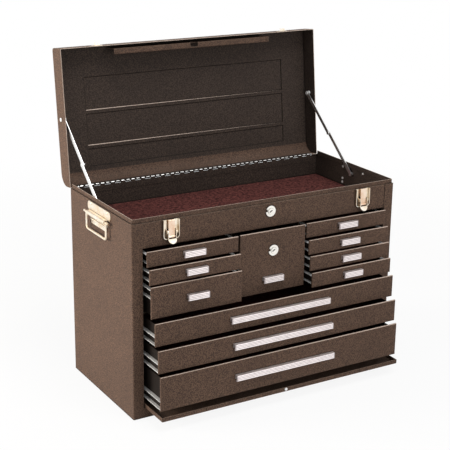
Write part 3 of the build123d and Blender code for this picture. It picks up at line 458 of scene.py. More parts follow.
@dataclass(frozen=True)
class Plate:
    """Plated metal, drawn along its length and clouded in patches, with painted shade in crevices
    when contact_shade is set.
    """

    name: str
    bright: Colour
    dull: Colour
    roughness: float
    metal: float = 1.0
    contact_shade: float = 0.0
    contact_shade_reach: float = 1.6 * MM
    contact_shade_tint: Colour = (0.03, 0.02, 0.014)
    cloud_rough: float = 0.14
    depth: float = 0.05 * MM
    strength: float = 0.3

    def build(self) -> Material:
        """Make the material."""
        material, graph, shader, place = new_material(self.name)
        marks = graph.group(plating_marks(), {"Place": place})
        wear = graph.group(edge_wear(), {"Place": place})
        shader.inputs["Metallic"].default_value = self.metal
        clouded = graph.blend(marks.outputs["Cloud"], rgba(self.bright), rgba(self.dull))
        worn_or_highlit = graph.blend(wear.outputs["Mask"], clouded, rgba(self.bright))
        shown = self.with_joint_shade(graph, place, worn_or_highlit)
        # Painted shade: the colour darkens beside whatever stands on the plate.
        if self.contact_shade:
            contact_shade = graph.group(crevice_shade(), {"Reach": self.contact_shade_reach, "Amount": self.contact_shade})
            shown = graph.blend(contact_shade.outputs["Mask"], shown, rgba(self.contact_shade_tint))
        graph.join(shown, shader.inputs["Base Color"])
        rough = graph.product(marks.outputs["Cloud"], self.cloud_rough)
        graph.join(graph.calc("ADD", rough, self.roughness), shader.inputs["Roughness"])
        relief(graph, shader, marks.outputs["Lines"], self.depth, self.strength)
        return material

    def with_joint_shade(self, graph: Graph, place: Socket, colour: Socket) -> Socket:
        """The colour as it is: plain plate gets no painted shade at joints."""
        return colour


@dataclass(frozen=True)
class KnucklePlate(Plate):
    """Plate on the hinge's knuckles, with painted shade where one meets the next."""

    pitch: float = 12.7 * MM
    first: float = 311.15 * MM
    lit_span: float = 0.27
    shaded_span: float = 0.33
    joint_shade_tint: Colour = (0.012, 0.010, 0.009)

    def with_joint_shade(self, graph: Graph, place: Socket, colour: Socket) -> Socket:
        """Darken the colour near each joint of the run, as painted shade between the knuckles.

        Args:
            graph: The material's graph.
            place: The socket of places on the object.
            colour: The plate's own colour.

        Returns:
            The darkened colour's socket.
        """
        along = graph.add("ShaderNodeSeparateXYZ", {0: place}).outputs[0]
        turns = graph.calc("DIVIDE", graph.calc("ADD", along, self.first), self.pitch)
        apart = graph.calc("ABSOLUTE", graph.calc("SUBTRACT", graph.calc("FRACT", turns), 0.5))
        return graph.blend(graph.ramp(apart, self.lit_span, self.shaded_span), colour, rgba(self.joint_shade_tint))


@dataclass(frozen=True)
class Felt:
    """Maroon felt with a soft sheen."""

    name: str
    light: Colour
    dark: Colour

    roughness: float = 0.95
    sheen: float = 0.06
    sheen_roughness: float = 0.6
    sheen_tint: Colour = (0.6, 0.2, 0.2)
    gloss: float = 0.06
    depth: float = 0.6 * MM
    strength: float = 0.7

    def build(self) -> Material:
        """Make the material."""
        material, graph, shader, place = new_material(self.name)
        fibres = graph.group(felt_fibres(), {"Place": place})
        colour = graph.blend(fibres.outputs["Tone"], rgba(self.dark), rgba(self.light))
        graph.join(colour, shader.inputs["Base Color"])
        settings = {"Roughness": self.roughness, "Sheen Weight": self.sheen,
                    "Sheen Roughness": self.sheen_roughness, "Sheen Tint": rgba(self.sheen_tint),
                    "Specular IOR Level": self.gloss}
        for key, value in settings.items():
            shader.inputs[key].default_value = value
        relief(graph, shader, fibres.outputs["Height"], self.depth, self.strength)
        return material


class Palette:
    """Every finish of the chest, built once."""

    def __init__(self) -> None:
        """Build the materials."""
        self.paint = WrinklePaint("wrinkle_paint", (0.158, 0.096, 0.066), (0.056, 0.035, 0.026),
                                  (0.34, 0.26, 0.20)).build()
        # Inner paint: a darker copy of the same paint, painted shade for faces that look inwards.
        self.inside = WrinklePaint("wrinkle_paint_inside_shaded", (0.078, 0.055, 0.043),
                                   (0.027, 0.020, 0.017), (0.20, 0.15, 0.11), dust=0.05).build()
        # Light tan paint: a painted highlight on upward rims, ridges and edges.
        self.edge = WrinklePaint("painted_highlight_edge", (0.66, 0.53, 0.45), (0.46, 0.36, 0.30),
                                 (0.7, 0.58, 0.48), contact_shade=0.0).build()
        # Near-black paint: painted shade in gaps, under the knuckles and on shaded slopes.
        self.shade = WrinklePaint("painted_shade_paint", (0.020, 0.014, 0.011), (0.008, 0.006, 0.005),
                                  (0.035, 0.026, 0.02), dust=0.0, gloss=0.1).build()
        self.felt = Felt("maroon_felt", (0.150, 0.050, 0.042), (0.026, 0.010, 0.010)).build()
        # Darker copy of the felt: painted shade inside the drawers.
        self.drawer_felt = Felt("drawer_felt", (0.055, 0.018, 0.016),
                                (0.014, 0.005, 0.005)).build()
        self.pull = Plate("pull_plating", (0.92, 0.86, 0.85), (0.84, 0.78, 0.77), 0.42).build()
        # Darker plate: painted shade in the grooves between the pull's ribs.
        self.groove_shade = Plate("pull_groove_shade", (0.52, 0.47, 0.47), (0.40, 0.36, 0.36), 0.5).build()
        self.nickel = Plate("warm_nickel", (1.0, 0.92, 0.80), (0.72, 0.57, 0.39), 0.24,
                            contact_shade=0.85).build()
        self.strap = Plate("copper_nickel", (0.95, 0.80, 0.66), (0.74, 0.50, 0.34), 0.28,
                           contact_shade=0.8).build()
        # Dark plate: painted shade in recesses, keyways and between the knuckles.
        self.recess = Plate("painted_shade_nickel", (0.16, 0.12, 0.09), (0.05, 0.04, 0.03),
                            0.4).build()
        self.zinc = Plate("zinc_plating", (0.86, 0.86, 0.85), (0.66, 0.66, 0.65), 0.26).build()
        self.runner = Plate("bright_zinc", (0.95, 0.95, 0.94), (0.84, 0.84, 0.83), 0.35,
                            0.4).build()
        self.knuckle = KnucklePlate("knuckle_plating", (0.93, 0.92, 0.90), (0.80, 0.79, 0.77),
                                    0.3).build()
        self.lock = Plate("polished_nickel", (0.97, 0.94, 0.88), (0.84, 0.80, 0.74), 0.18,
                          contact_shade=0.8, contact_shade_reach=0.8 * MM).build()

    def of(self, slot: Slot) -> Material:
        """The material of a record's slot."""
        return {Slot.PAINT: self.paint, Slot.FELT: self.felt, Slot.PULL: self.pull,
                Slot.NICKEL: self.nickel, Slot.ZINC: self.zinc, Slot.LOCK: self.lock}[slot]


# --- meshes ---
def added(name: str, data: bpy.types.ID) -> Object:
    """Put a new object with the given data in the scene."""
    item = bpy.data.objects.new(name, data)
    bpy.context.scene.collection.objects.link(item)
    return item


def finished_piece(name: str, mesh: Mesh, material: Material,
                   body: str, slot: Slot) -> Object:
    """Make a mesh a piece of the chest.

    Args:
        name: The piece's name.
        mesh: Its mesh, in the row frame.
        material: Its finish.
        body: The body that it rides on.
        slot: The record's slot; not used.

    Returns:
        The piece's object.
    """
    piece = added(name, mesh)
    mesh.materials.clear()
    mesh.materials.append(material)
    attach(piece, body)
    LOG.info("%s rides on %s, %d faces", name, body, len(mesh.polygons))
    return piece


def baked(source: Object) -> Mesh:
    """Turn an object with its modifiers into a plain mesh, and remove the object.

    Args:
        source: The object with live modifiers.

    Returns:
        The mesh that it evaluates to.
    """
    bpy.context.view_layer.update()
    depsgraph = bpy.context.evaluated_depsgraph_get()
    mesh = bpy.data.meshes.new_from_object(source.evaluated_get(depsgraph))
    bpy.data.objects.remove(source)
    return mesh


def smoothed(mesh: Mesh, angle: float = 35.0) -> Mesh:
    """Shade a mesh smooth, with sharp edges where faces meet at more than the angle.

    Args:
        mesh: The mesh.
        angle: Least turn of a sharp edge, in degrees.

    Returns:
        The same mesh.
    """
    edited = bmesh.new()
    edited.from_mesh(mesh)
    bmesh.ops.recalc_face_normals(edited, faces=edited.faces)
    for face in edited.faces:
        face.smooth = True
    for edge in edited.edges:
        edge.smooth = len(edge.link_faces) == 2 and edge.calc_face_angle(0.0) < math.radians(angle)
    edited.to_mesh(mesh)
    edited.free()
    return mesh


def coat_faces(name: str, finishes: Sequence[Material],
               choose: Callable[[Vector, Vector], int]) -> None:
    """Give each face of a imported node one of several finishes.

    Args:
        name: The node's name.
        finishes: Finishes beyond the node's own, which is number 0.
        choose: Takes a face's middle and normal, and gives the number of its finish.
    """
    mesh = frame["nodes"][name].data
    for finish in finishes:
        mesh.materials.append(finish)
    for face in mesh.polygons:
        face.material_index = choose(face.center, face.normal)


# --- repeats made by geometry nodes ---
class RepeatTree:
    """A geometry node tree with named inputs, made once."""

    def __init__(self, name: str, sizes: dict[str, float], fill: Callable) -> None:
        """Build the tree.

        Args:
            name: The tree's name.
            sizes: Name and default of each size.
            fill: Builds the tree from its graph and input node; gives the geometry's socket.
        """
        self.tree = bpy.data.node_groups.new(name, "GeometryNodeTree")
        face = self.tree.interface
        face.new_socket("Geometry", in_out="INPUT", socket_type="NodeSocketGeometry")
        self.keys = {}
        for key, value in sizes.items():
            socket = face.new_socket(key, in_out="INPUT", socket_type="NodeSocketFloat")
            socket.default_value = value
            self.keys[key] = socket.identifier
        socket = face.new_socket("Finish", in_out="INPUT", socket_type="NodeSocketMaterial")
        self.keys["Finish"] = socket.identifier
        face.new_socket("Geometry", in_out="OUTPUT", socket_type="NodeSocketGeometry")
        graph = Graph(self.tree)
        given = graph.add("NodeGroupInput")
        plain = graph.add("GeometryNodeRealizeInstances", {0: fill(graph, given)})
        coated = graph.add("GeometryNodeSetMaterial", {"Geometry": plain.outputs[0],
                                                       "Material": given.outputs["Finish"]})
        graph.add("NodeGroupOutput", {0: coated.outputs[0]})

    def run(self, base: Mesh, finish: Material, **sizes: float) -> Mesh:
        """Run the tree on a mesh of points or edges.

        Args:
            base: The mesh that the tree starts from.
            finish: The material that it sets.
            **sizes: Sizes, by the names of the tree's inputs.

        Returns:
            The plain mesh that it makes.
        """
        holder = added("holder", base)
        modifier = holder.modifiers.new("repeat", "NODES")
        modifier.node_group = self.tree
        modifier[self.keys["Finish"]] = finish
        for key, value in sizes.items():
            modifier[self.keys[key]] = value
        return baked(holder)


def fill_heads(graph: Graph, given: Node) -> Socket:
    """Set a domed head on each point, square to the point's aim."""
    head = graph.add("GeometryNodeMeshUVSphere", {"Segments": 14, "Rings": 8, "Radius": 1.0})
    aim = graph.add("GeometryNodeInputNamedAttribute", {"Name": "aim"}, data_type="FLOAT_VECTOR")
    turn = graph.add("FunctionNodeAlignRotationToVector", {"Vector": aim.outputs[0]}, axis="Z")
    radius, height = given.outputs["Radius"], given.outputs["Height"]
    size = graph.add("ShaderNodeCombineXYZ", {0: radius, 1: radius, 2: height})
    placed = {"Points": given.outputs["Geometry"], "Instance": head.outputs[0],
              "Rotation": turn.outputs[0], "Scale": size.outputs[0]}
    return graph.add("GeometryNodeInstanceOnPoints", placed).outputs[0]


def fill_beads(graph: Graph, given: Node) -> Socket:
    """Draw a round bead along each edge, with closed ends."""
    line = graph.add("GeometryNodeMeshToCurve", {0: given.outputs["Geometry"]})
    section = graph.add("GeometryNodeCurvePrimitiveCircle",
                        {"Resolution": 8, "Radius": given.outputs["Radius"]})
    swept = {"Curve": line.outputs[0], "Profile Curve": section.outputs[0], "Fill Caps": True}
    return graph.add("GeometryNodeCurveToMesh", swept).outputs[0]


def points_mesh(points: Sequence[Point], aim: Point) -> Mesh:
    """Mesh of loose points that all aim the same way.

    Args:
        points: Places of the points, in metres.
        aim: Direction that they aim in.

    Returns:
        The mesh.
    """
    mesh = bpy.data.meshes.new("points")
    mesh.from_pydata([tuple(p) for p in points], [], [])
    attribute = mesh.attributes.new("aim", "FLOAT_VECTOR", "POINT")
    attribute.data.foreach_set("vector", [c for _ in points for c in aim])
    return mesh


def lines_mesh(lines: Sequence[tuple[Point, Point]]) -> Mesh:
    """Mesh of separate straight edges.

    Args:
        lines: The two ends of each edge, in metres.

    Returns:
        The mesh.
    """
    mesh = bpy.data.meshes.new("lines")
    ends = [tuple(p) for line in lines for p in line]
    mesh.from_pydata(ends, [(i, i + 1) for i in range(0, len(ends), 2)], [])
    return mesh


# --- sub-assemblies ---
@dataclass
class NodeFinishes:
    """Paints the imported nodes, each with its own slot's finish."""

    palette: Palette

    def dress(self) -> None:
        """Give each node its finish."""
        slots = {row["node"]: Slot(row["material_slot"]) for row in frame["record"]["subparts"]}
        for name, node in frame["nodes"].items():
            node.data.materials.clear()
            node.data.materials.append(self.palette.of(slots[name]))
        LOG.info("%d nodes painted", len(frame["nodes"]))


@dataclass
class Shells:
    """The cabinet's and the lid's insides in darker paint as painted shade, their upward edges and
    ridges with a painted highlight, and the lid's other emboss slopes in painted shade.
    """

    palette: Palette
    rim: float = 2.5 * MM
    ridge_reaches: tuple[float, float] = (81.0 * MM, 160.5 * MM)
    ridge_slack: float = 2.2 * MM
    field_half: float = 266.0 * MM
    field_reaches: tuple[float, float] = (30.0 * MM, 242.0 * MM)
    radius_reach: float = 32.0 * MM
    hem: float = 2.0 * MM
    ridge_up: float = 0.3
    radius_up: float = 0.2
    radius_towards: float = 0.1
    inner_towards: float = 0.3
    cabinet_box: Box = field(init=False)
    lid_box: Box = field(init=False)
    panel_top: float = field(init=False)
    hinge: Vector = field(init=False)

    def __post_init__(self) -> None:
        """Look up the boxes once, because the finishes are chosen face by face."""
        self.cabinet_box, self.lid_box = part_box("cabinet_shell"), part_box("lid_shell")
        self.panel_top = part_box("till_front_panel")[1].z
        self.hinge = Vector((0.0, *frame_hinge()))

    def dress(self) -> None:
        """Give the faces that look inwards darker paint as painted shade, and the upward edges a
        painted highlight.
        """
        palette = self.palette
        coat_faces("cabinet_shell", (palette.inside, palette.edge), self.cabinet_finish)
        coat_faces("lid_shell", (palette.inside, palette.edge, palette.shade),
                   self.lid_finish)
        coat_faces("till_front_panel", (palette.edge,), self.panel_finish)
        # Floors, shelf and dividers take the darker inner paint: painted shade.
        for name in ("till_floor", "drawer_shelf", "drawer_dividers"):
            frame["nodes"][name].data.materials[0] = palette.inside
        # The rails take the near-black paint: painted shade.
        frame["nodes"]["cabinet_rails"].data.materials[0] = palette.shade

    def cabinet_finish(self, middle: Vector, normal: Vector) -> int:
        """Finish of a face of the cabinet: outer paint, darker inner paint as painted shade, or a
        painted highlight on the top rim.
        """
        high = self.cabinet_box[1]
        if normal.z > SQUARE_ON and middle.z > high.z - self.rim:
            return 2
        inner = any(looks_inwards(middle, normal, high, axis) for axis in (0, 1))
        return 1 if inner else 0

    def panel_finish(self, middle: Vector, normal: Vector) -> int:
        """Finish of a face of the till's front panel: paint, or a painted highlight on the top
        edge.
        """
        return 1 if normal.z > SQUARE_ON and middle.z > self.panel_top - self.rim else 0

    def lid_finish(self, middle: Vector, normal: Vector) -> int:
        """Finish of a face of the lid: outer paint, darker inner paint as painted shade, a painted
        highlight on the rim and the ridges' upward slopes, or painted shade on the other emboss
        slopes.

        Args:
            middle: The face's middle.
            normal: The face's normal.

        Returns:
            The finish's number.
        """
        upward, facing = lid_axes()
        away = middle - self.hinge
        reach, depth = away.dot(upward), away.dot(facing)
        up, towards = normal.dot(upward), normal.dot(facing)
        if towards > SQUARE_ON and depth > -self.hem:
            return 2
        near, far = self.field_reaches
        in_fields = near < reach < far and abs(middle.x) < self.field_half
        if in_fields and HALF_ON < towards < SQUARE_ON:
            on_ridge = any(abs(reach - place) < self.ridge_slack for place in self.ridge_reaches)
            return 2 if on_ridge and up > self.ridge_up else 3
        low, high = self.lid_box
        side = looks_inwards(middle, normal, high, 0)
        rounded = up > self.radius_up and towards > self.radius_towards
        # The rear radius that faces up keeps the lighter outer paint: a painted highlight band.
        if reach < self.radius_reach and rounded and not side:
            return 0
        return 1 if side or (towards > self.inner_towards and reach < high.z - low.z) else 0


def looks_inwards(middle: Vector, normal: Vector, high: Vector, axis: int) -> bool:
    """Whether a face is the inner side of a wall that stands across an axis.

    Args:
        middle: The face's middle.
        normal: The face's normal.
        high: The shell's upper corner.
        axis: Number of the axis.

    Returns:
        True for an inner side.
    """
    within = abs(middle[axis]) < high[axis] - SHEET_WALL / 2
    return within and normal[axis] * middle[axis] < 0 and abs(normal[axis]) > HALF_ON


def frame_hinge() -> tuple[float, float]:
    """Y and Z of the lid hinge's axis, the middle of the pin."""
    low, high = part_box("hinge_pin")
    return (low.y + high.y) / 2, (low.z + high.z) / 2


def lid_axes() -> tuple[Vector, Vector]:
    """Ways from the hinge to the open lid's front edge, and in which its inside looks."""
    turn = math.radians(LID_OPEN)
    across, along = math.cos(turn), math.sin(turn)
    return Vector((0.0, -across, along)), Vector((0.0, -along, -across))


@dataclass
class PianoHinge:
    """Hinge whose leaves are painted over in the darker inner paint, and whose knuckles are bare on
    top and in painted shade below.
    """

    palette: Palette
    knuckle: float = 2.5 * MM
    bright: float = 0.5
    pin_head: float = 4.0 * MM
    axis: tuple[float, float] = field(init=False)

    def __post_init__(self) -> None:
        """Look up the pin's axis."""
        self.axis = frame_hinge()

    def dress(self) -> None:
        """Paint the leaves, and leave the knuckles' tops and the pin's heads bright; the pin's
        shank and the knuckles' lower facets get painted shade.
        """
        frame["nodes"]["hinge_pin"].data.materials[0] = self.palette.recess
        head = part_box("hinge_pin")[1].x - self.pin_head
        coat_faces("hinge_pin", (self.palette.zinc,),
                   lambda middle, _: int(abs(middle.x) > head))
        for name in ("hinge_body_leaf", "hinge_lid_leaf"):
            frame["nodes"][name].data.materials[0] = self.palette.knuckle
            coat_faces(name, (self.palette.inside, self.palette.shade), self.leaf_finish)

    def leaf_finish(self, middle: Vector, normal: Vector) -> int:
        """Paint beyond the knuckle's radius, bright plate on top of it and painted shade below."""
        if math.hypot(middle.y - self.axis[0], middle.z - self.axis[1]) > self.knuckle:
            return 1
        return 0 if normal.z > self.bright else 2


@dataclass
class DrawLatches:
    """Latches with a coppery strap and painted shade on the lower floor of the plate's recess."""

    palette: Palette
    floor: float = 2.0 * MM
    shaded_share: float = 0.52

    def dress(self) -> None:
        """Tint the straps, and give the recesses painted shade."""
        low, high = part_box("latch_bases")
        shaded = low.z + (high.z - low.z) * self.shaded_share

        def choose(middle: Vector, normal: Vector) -> int:
            """Painted shade on the lower part of the recess's floor."""
            on_floor = middle.y > high.y - self.floor and normal.y < -HALF_ON
            return int(on_floor and middle.z < shaded)

        coat_faces("latch_bases", (self.palette.recess,), choose)
        for side in Side:
            frame["nodes"][f"latch_strap_{side.word}"].data.materials[0] = self.palette.strap


@dataclass
class Locks:
    """Lock faces, with painted shade in the notches and keyways."""

    palette: Palette
    face: float = 0.4 * MM

    def dress(self) -> None:
        """Darken whatever lies behind a lock's face, as painted shade."""
        for name in ("till_lock_case", "drawer_lock_case", "till_lock_plug", "drawer_lock_plug"):
            low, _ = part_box(name)
            coat_faces(name, (self.palette.recess,), self.behind(low.y))

    def behind(self, front: float) -> Callable[[Vector, Vector], int]:
        """Choose the dark finish, painted shade, for faces behind a lock's front, at the given Y.
        """
        return lambda middle, _: int(middle.y > front + self.face)


@dataclass
class DrawerDressing:
    """Runners, felt and pull details of one drawer."""

    palette: Palette
    beads: RepeatTree
    name: str
    inset: float = 10.3 * MM
    felt_low: float = 2.05 * MM
    felt_high: float = 3.95 * MM
    lip: float = 3.6 * MM
    overhang: float = 9.0 * MM
    web: float = 1.5 * MM
    edge: float = 2.2 * MM
    ribs: int = 4
    rib_radius: float = 1.1 * MM
    felt_front: float = 1.6 * MM
    felt_back: float = 1.3 * MM
    worn_or_highlit: float = 0.3
    slack: float = 0.01 * MM

    def dress(self) -> None:
        """Add the felt and the pull's beads, and plate the runners."""
        self.plate_runners()
        self.lay_felt()
        self.bead_pull()

    @property
    def body(self) -> str:
        """The drawer's body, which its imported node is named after."""
        return f"drawer_{self.name}"

    def plate_runners(self) -> None:
        """Leave the runners' lips bright, give their webs painted shade, and give the front's upper
        edge a painted highlight.
        """
        low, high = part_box(self.body)
        pan_low, pan_high = low.x + self.overhang, high.x - self.overhang

        def choose(middle: Vector, normal: Vector) -> int:
            """Finish of one face: 0 paint, 1 bright runner, 2 painted shade, 3 painted highlight on
            the edge.
            """
            if middle.y < low.y + self.lip:
                upper = middle.z > high.z - self.edge and middle.y < low.y + self.edge
                return 3 if normal.z > self.worn_or_highlit and upper else 0
            beside = middle.x < pan_low - self.slack or middle.x > pan_high + self.slack
            lip = middle.x < pan_low - self.web or middle.x > pan_high + self.web
            return 1 if beside and lip else 2

        finishes = (self.palette.runner, self.palette.shade, self.palette.edge)
        coat_faces(self.body, finishes, choose)

    def lay_felt(self) -> None:
        """Lay the felt, in its darker painted-shade copy, on the pan's floor."""
        low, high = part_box(self.body)
        corner = Vector((low.x + self.inset, low.y + self.felt_front, low.z + self.felt_low))
        far = Vector((high.x - self.inset, high.y - self.felt_back, low.z + self.felt_high))
        FeltSheet(f"felt_{self.name}", self.body, corner, far,
                  (self.body,), self.palette.drawer_felt).lay()

    def bead_pull(self) -> None:
        """Draw ribs along the pull's face, and give the grooves between them painted shade."""
        name = f"pull_{self.name}"
        low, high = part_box(name)
        height = high.z - low.z
        coat_faces(name, (self.palette.groove_shade,), lambda middle, normal: int(
            normal.y < -HALF_ON and middle.y < low.y + self.web))
        heights = [low.z + height * (index + 0.5) / self.ribs for index in range(self.ribs)]
        lines = [((low.x + self.edge, low.y, z), (high.x - self.edge, low.y, z)) for z in heights]
        mesh = self.beads.run(lines_mesh(lines), self.palette.pull, Radius=self.rib_radius)
        finished_piece(f"ribs_{self.name}", smoothed(mesh), self.palette.pull, self.body,
                       Slot.PULL)


@dataclass
class FeltSheet:
    """A felt sheet cut to lie on a floor; its top is uneven by a share of a millimetre."""

    name: str
    body: str
    low: Vector
    high: Vector
    rests_on: tuple[str, ...]
    finish: Material
    step: float = 12.0 * MM
    play: float = 0.3 * MM
    round_edge: float = 0.4 * MM
    waves: float = 14.0
    layer: float = 0.3
    uneven: float = 0.15

    def lay(self) -> Object:
        """Make the sheet, a little uneven on top.

        Returns:
            The sheet's object.
        """
        size = self.high - self.low
        columns, rows = (max(2, round(side / self.step)) for side in (size.x, size.y))
        edited = bmesh.new()
        grid = [[edited.verts.new(self.surface(i / columns, j / rows))
                 for i in range(columns + 1)] for j in range(rows + 1)]
        for lower, upper in zip(grid, grid[1:]):
            for i in range(columns):
                edited.faces.new((lower[i], lower[i + 1], upper[i + 1], upper[i]))
        mesh = bpy.data.meshes.new(self.name)
        edited.to_mesh(mesh)
        edited.free()
        piece = added(f"{self.name}_flat", mesh)
        solid = piece.modifiers.new("thickness", "SOLIDIFY")
        solid.thickness = size.z - self.play
        solid.offset = -1.0
        soft = piece.modifiers.new("soft_edge", "BEVEL")
        soft.width, soft.segments, soft.limit_method = self.round_edge, 2, "ANGLE"
        sheet = finished_piece(self.name, smoothed(baked(piece), ROUND_ANGLE), self.finish,
                               self.body, Slot.FELT)
        list(self.rests_on)
        return sheet

    def surface(self, across: float, along: float) -> Point:
        """Place on the top of the sheet.

        Args:
            across: Share of the width.
            along: Share of the depth.

        Returns:
            The place, in metres.
        """
        x = self.low.x + (self.high.x - self.low.x) * across
        y = self.low.y + (self.high.y - self.low.y) * along
        wave = noise.noise(Vector((x * self.waves, y * self.waves, self.layer)))
        return (x, y, self.high.z - self.uneven * MM + wave * self.uneven * MM)


@dataclass
class Till:
    """The till's felt."""

    palette: Palette

    def dress(self) -> None:
        """Lay the felt in place of the plain one."""
        low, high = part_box("till_felt")
        sheet = FeltSheet("till_felt_sheet", "cabinet", low, high, ("till_floor",),
                          self.palette.felt).lay()
        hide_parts("till_felt")


@dataclass
class Rivets:
    """Domed rivet heads of the lock bar and the handle plates."""

    palette: Palette
    heads: RepeatTree
    plate: float = 1.5 * MM
    spread: float = 0.040
    drops: tuple[float, float] = (3.0 * MM, 32.1 * MM)
    radius: float = 2.8 * MM
    height: float = 1.2 * MM
    bar_end: float = 6.0 * MM
    bar_drop: float = 6.5 * MM
    bar_out: float = 0.1 * MM
    bar_radius: float = 2.6 * MM
    bar_height: float = 1.0 * MM

    def dress(self) -> None:
        """Set each group of heads."""
        for name in ("cabinet_rivets", "lid_stay_studs", "front_panel_stud"):
            frame["nodes"][name].data.materials[0] = self.palette.runner
        for side in Side:
            self.handle(side)
        self.lock_bar()

    def handle(self, side: Side) -> None:
        """Heads on a handle's plate, in line with those inside the wall.

        Args:
            side: The end of the chest.
        """
        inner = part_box("cabinet_rivets")[1]
        plate_x = side.value * (inner.x + SHEET_WALL) + side.value * self.plate
        points = [(plate_x, y, inner.z - drop)
                  for y in (-self.spread, self.spread) for drop in self.drops]
        mesh = self.heads.run(points_mesh(points, (side.value, 0.0, 0.0)), self.palette.nickel,
                              Radius=self.radius, Height=self.height)
        finished_piece(f"handle_rivets_{side.word}", smoothed(mesh, ROUND_ANGLE),
                       self.palette.nickel, "cabinet", Slot.NICKEL)

    def lock_bar(self) -> None:
        """Heads near the lock bar's ends."""
        low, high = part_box("lid_lock_bar")
        points = [(x, low.y + self.bar_out, high.z - self.bar_drop)
                  for x in (low.x + self.bar_end, high.x - self.bar_end)]
        mesh = self.heads.run(points_mesh(points, (0.0, -1.0, 0.0)), self.palette.paint,
                              Radius=self.bar_radius, Height=self.bar_height)
        finished_piece("lock_bar_rivets", smoothed(mesh, ROUND_ANGLE), self.palette.paint,
                       "lid", Slot.PAINT)


# --- studio ---
@dataclass(frozen=True)
class Lamp:
    """A soft area lamp that aims at a place."""

    name: str
    place: Point
    aim: Point
    width: float
    power: float
    tint: Colour = (1.0, 1.0, 1.0)

    def hang(self) -> None:
        """Put the lamp in the scene."""
        data = bpy.data.lights.new(self.name, "AREA")
        data.shape = "SQUARE"
        data.size = self.width
        data.energy = self.power
        data.color = self.tint
        lamp = added(self.name, data)
        lamp.location = self.place
        towards = Vector(self.aim) - Vector(self.place)
        lamp.rotation_euler = towards.to_track_quat("-Z", "Y").to_euler()


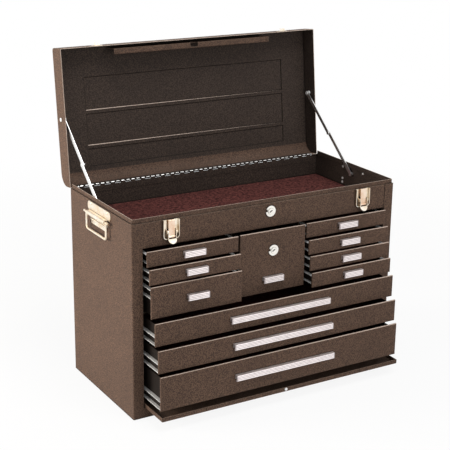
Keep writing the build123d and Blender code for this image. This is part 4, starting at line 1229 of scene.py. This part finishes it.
@dataclass
class Studio:
    """Pale floor, white surroundings and soft lamps."""

    floor_half: float = 12.0
    ambient: float = 0.34
    near: float = 0.9
    far: float = 2.0
    glow_near: float = 0.9
    floor_tint: Colour = (0.86, 0.86, 0.86)

    def build(self) -> None:
        """Make the floor, the world and the lamps."""
        self.lay_floor()
        self.light_world()
        lamps = (Lamp("key_left", (-3.0, 1.0, 0.9), (-0.3, 0.0, 0.3), 1.4, 112.0,
                      (1.0, 0.94, 0.86)),
                 Lamp("fill_front", (0.3, -3.2, 1.0), (0.0, 0.0, 0.2), 1.8, 20.0),
                 Lamp("top_soft", (0.1, -1.0, 3.0), (0.0, 0.0, 0.35), 1.6, 46.0))
        for lamp in lamps:
            lamp.hang()
        bpy.context.scene.view_settings.view_transform = "Standard"
        LOG.info("studio with %d lamps", len(lamps))

    def seen_directly(self, graph: Graph) -> Socket:
        """Mask of the rays that show a white surrounding: camera, glossy and transmission."""
        path = graph.add("ShaderNodeLightPath")
        total = graph.calc("ADD", path.outputs["Is Camera Ray"], path.outputs["Is Glossy Ray"])
        return graph.calc("ADD", total, path.outputs["Is Transmission Ray"], clamp=True)

    def lay_floor(self) -> None:
        """Lay a pale floor that keeps the chest's shadow."""
        mesh = bpy.data.meshes.new("floor")
        half = self.floor_half
        corners = [(-half, -half, 0), (half, -half, 0), (half, half, 0), (-half, half, 0)]
        mesh.from_pydata(corners, [], [(0, 1, 2, 3)])
        floor = added("floor", mesh)
        material, graph, shader, place = new_material("pale_floor")
        shader.inputs["Base Color"].default_value = rgba(self.floor_tint)
        shader.inputs["Roughness"].default_value = 1.0
        shader.inputs["Specular IOR Level"].default_value = 0.0
        glow = graph.add("ShaderNodeEmission", {"Color": WHITE, "Strength": 1.0})
        away = graph.add("ShaderNodeVectorMath", {0: place}, operation="LENGTH").outputs["Value"]
        whiter = graph.add("ShaderNodeMapRange", {0: away, 1: self.near, 2: self.far,
                                                  3: self.glow_near, 4: 1.0}).outputs[0]
        share = graph.product(self.seen_directly(graph), whiter)
        mixed = graph.add("ShaderNodeMixShader",
                          {0: share, 1: shader.outputs[0], 2: glow.outputs[0]})
        graph.join(mixed.outputs[0], material.node_tree.nodes["Material Output"].inputs[0])
        mesh.materials.append(material)

    def light_world(self) -> None:
        """Make the surroundings white to the eye and soft to the lamps."""
        world = bpy.data.worlds.new("surroundings")
        world.use_nodes = True
        bpy.context.scene.world = world
        graph = Graph(world.node_tree)
        background = world.node_tree.nodes["Background"]
        background.inputs["Color"].default_value = WHITE
        lit = graph.product(self.seen_directly(graph), 1.0 - self.ambient)
        graph.join(graph.calc("ADD", lit, self.ambient), background.inputs["Strength"])


@dataclass(frozen=True)
class Viewpoint:
    """The photograph's camera."""

    eye: Point = (-1.3279, -2.1988, 1.1648)
    forward: Point = (0.48608, 0.81880, -0.30544)
    above: Point = (0.14456, 0.26937, 0.95213)
    focal: float = 94.99
    sensor: float = 36.0
    clip: tuple[float, float] = (0.1, 60.0)

    def place(self) -> None:
        """Put the camera in the scene."""
        data = bpy.data.cameras.new("camera")
        data.lens, data.sensor_width, data.sensor_fit = self.focal, self.sensor, "HORIZONTAL"
        data.clip_start, data.clip_end = self.clip
        camera = added("camera", data)
        ahead = Vector(self.forward).normalized()
        right = ahead.cross(Vector(self.above)).normalized()
        upward = right.cross(ahead)
        turn = Matrix((right, upward, -ahead)).transposed()
        camera.matrix_world = Matrix.Translation(self.eye) @ turn.to_4x4()
        bpy.context.scene.camera = camera


def drawer_names() -> list[str]:
    """Names of the drawers, read from the bodies."""
    names = (body.removeprefix("drawer_") for body in frame["bodies"])
    return sorted(name for name in names if f"pull_{name}" in frame["nodes"])


def main() -> None:
    """Dress the chest, then build the studio and the camera."""
    logging.basicConfig(level=logging.INFO, format="%(name)s: %(message)s")
    palette = Palette()
    sizes = {"Radius": Rivets.radius, "Height": Rivets.height}
    heads = RepeatTree("rivet_heads", sizes, fill_heads)
    beads = RepeatTree("pull_beads", {"Radius": DrawerDressing.rib_radius}, fill_beads)
    NodeFinishes(palette).dress()
    Shells(palette).dress()
    PianoHinge(palette).dress()
    DrawLatches(palette).dress()
    Locks(palette).dress()
    Till(palette).dress()
    for name in drawer_names():
        DrawerDressing(palette, beads, name).dress()
    Rivets(palette, heads).dress()
    Studio().build()
    Viewpoint().place()


if __name__ == "__main__":
    main()
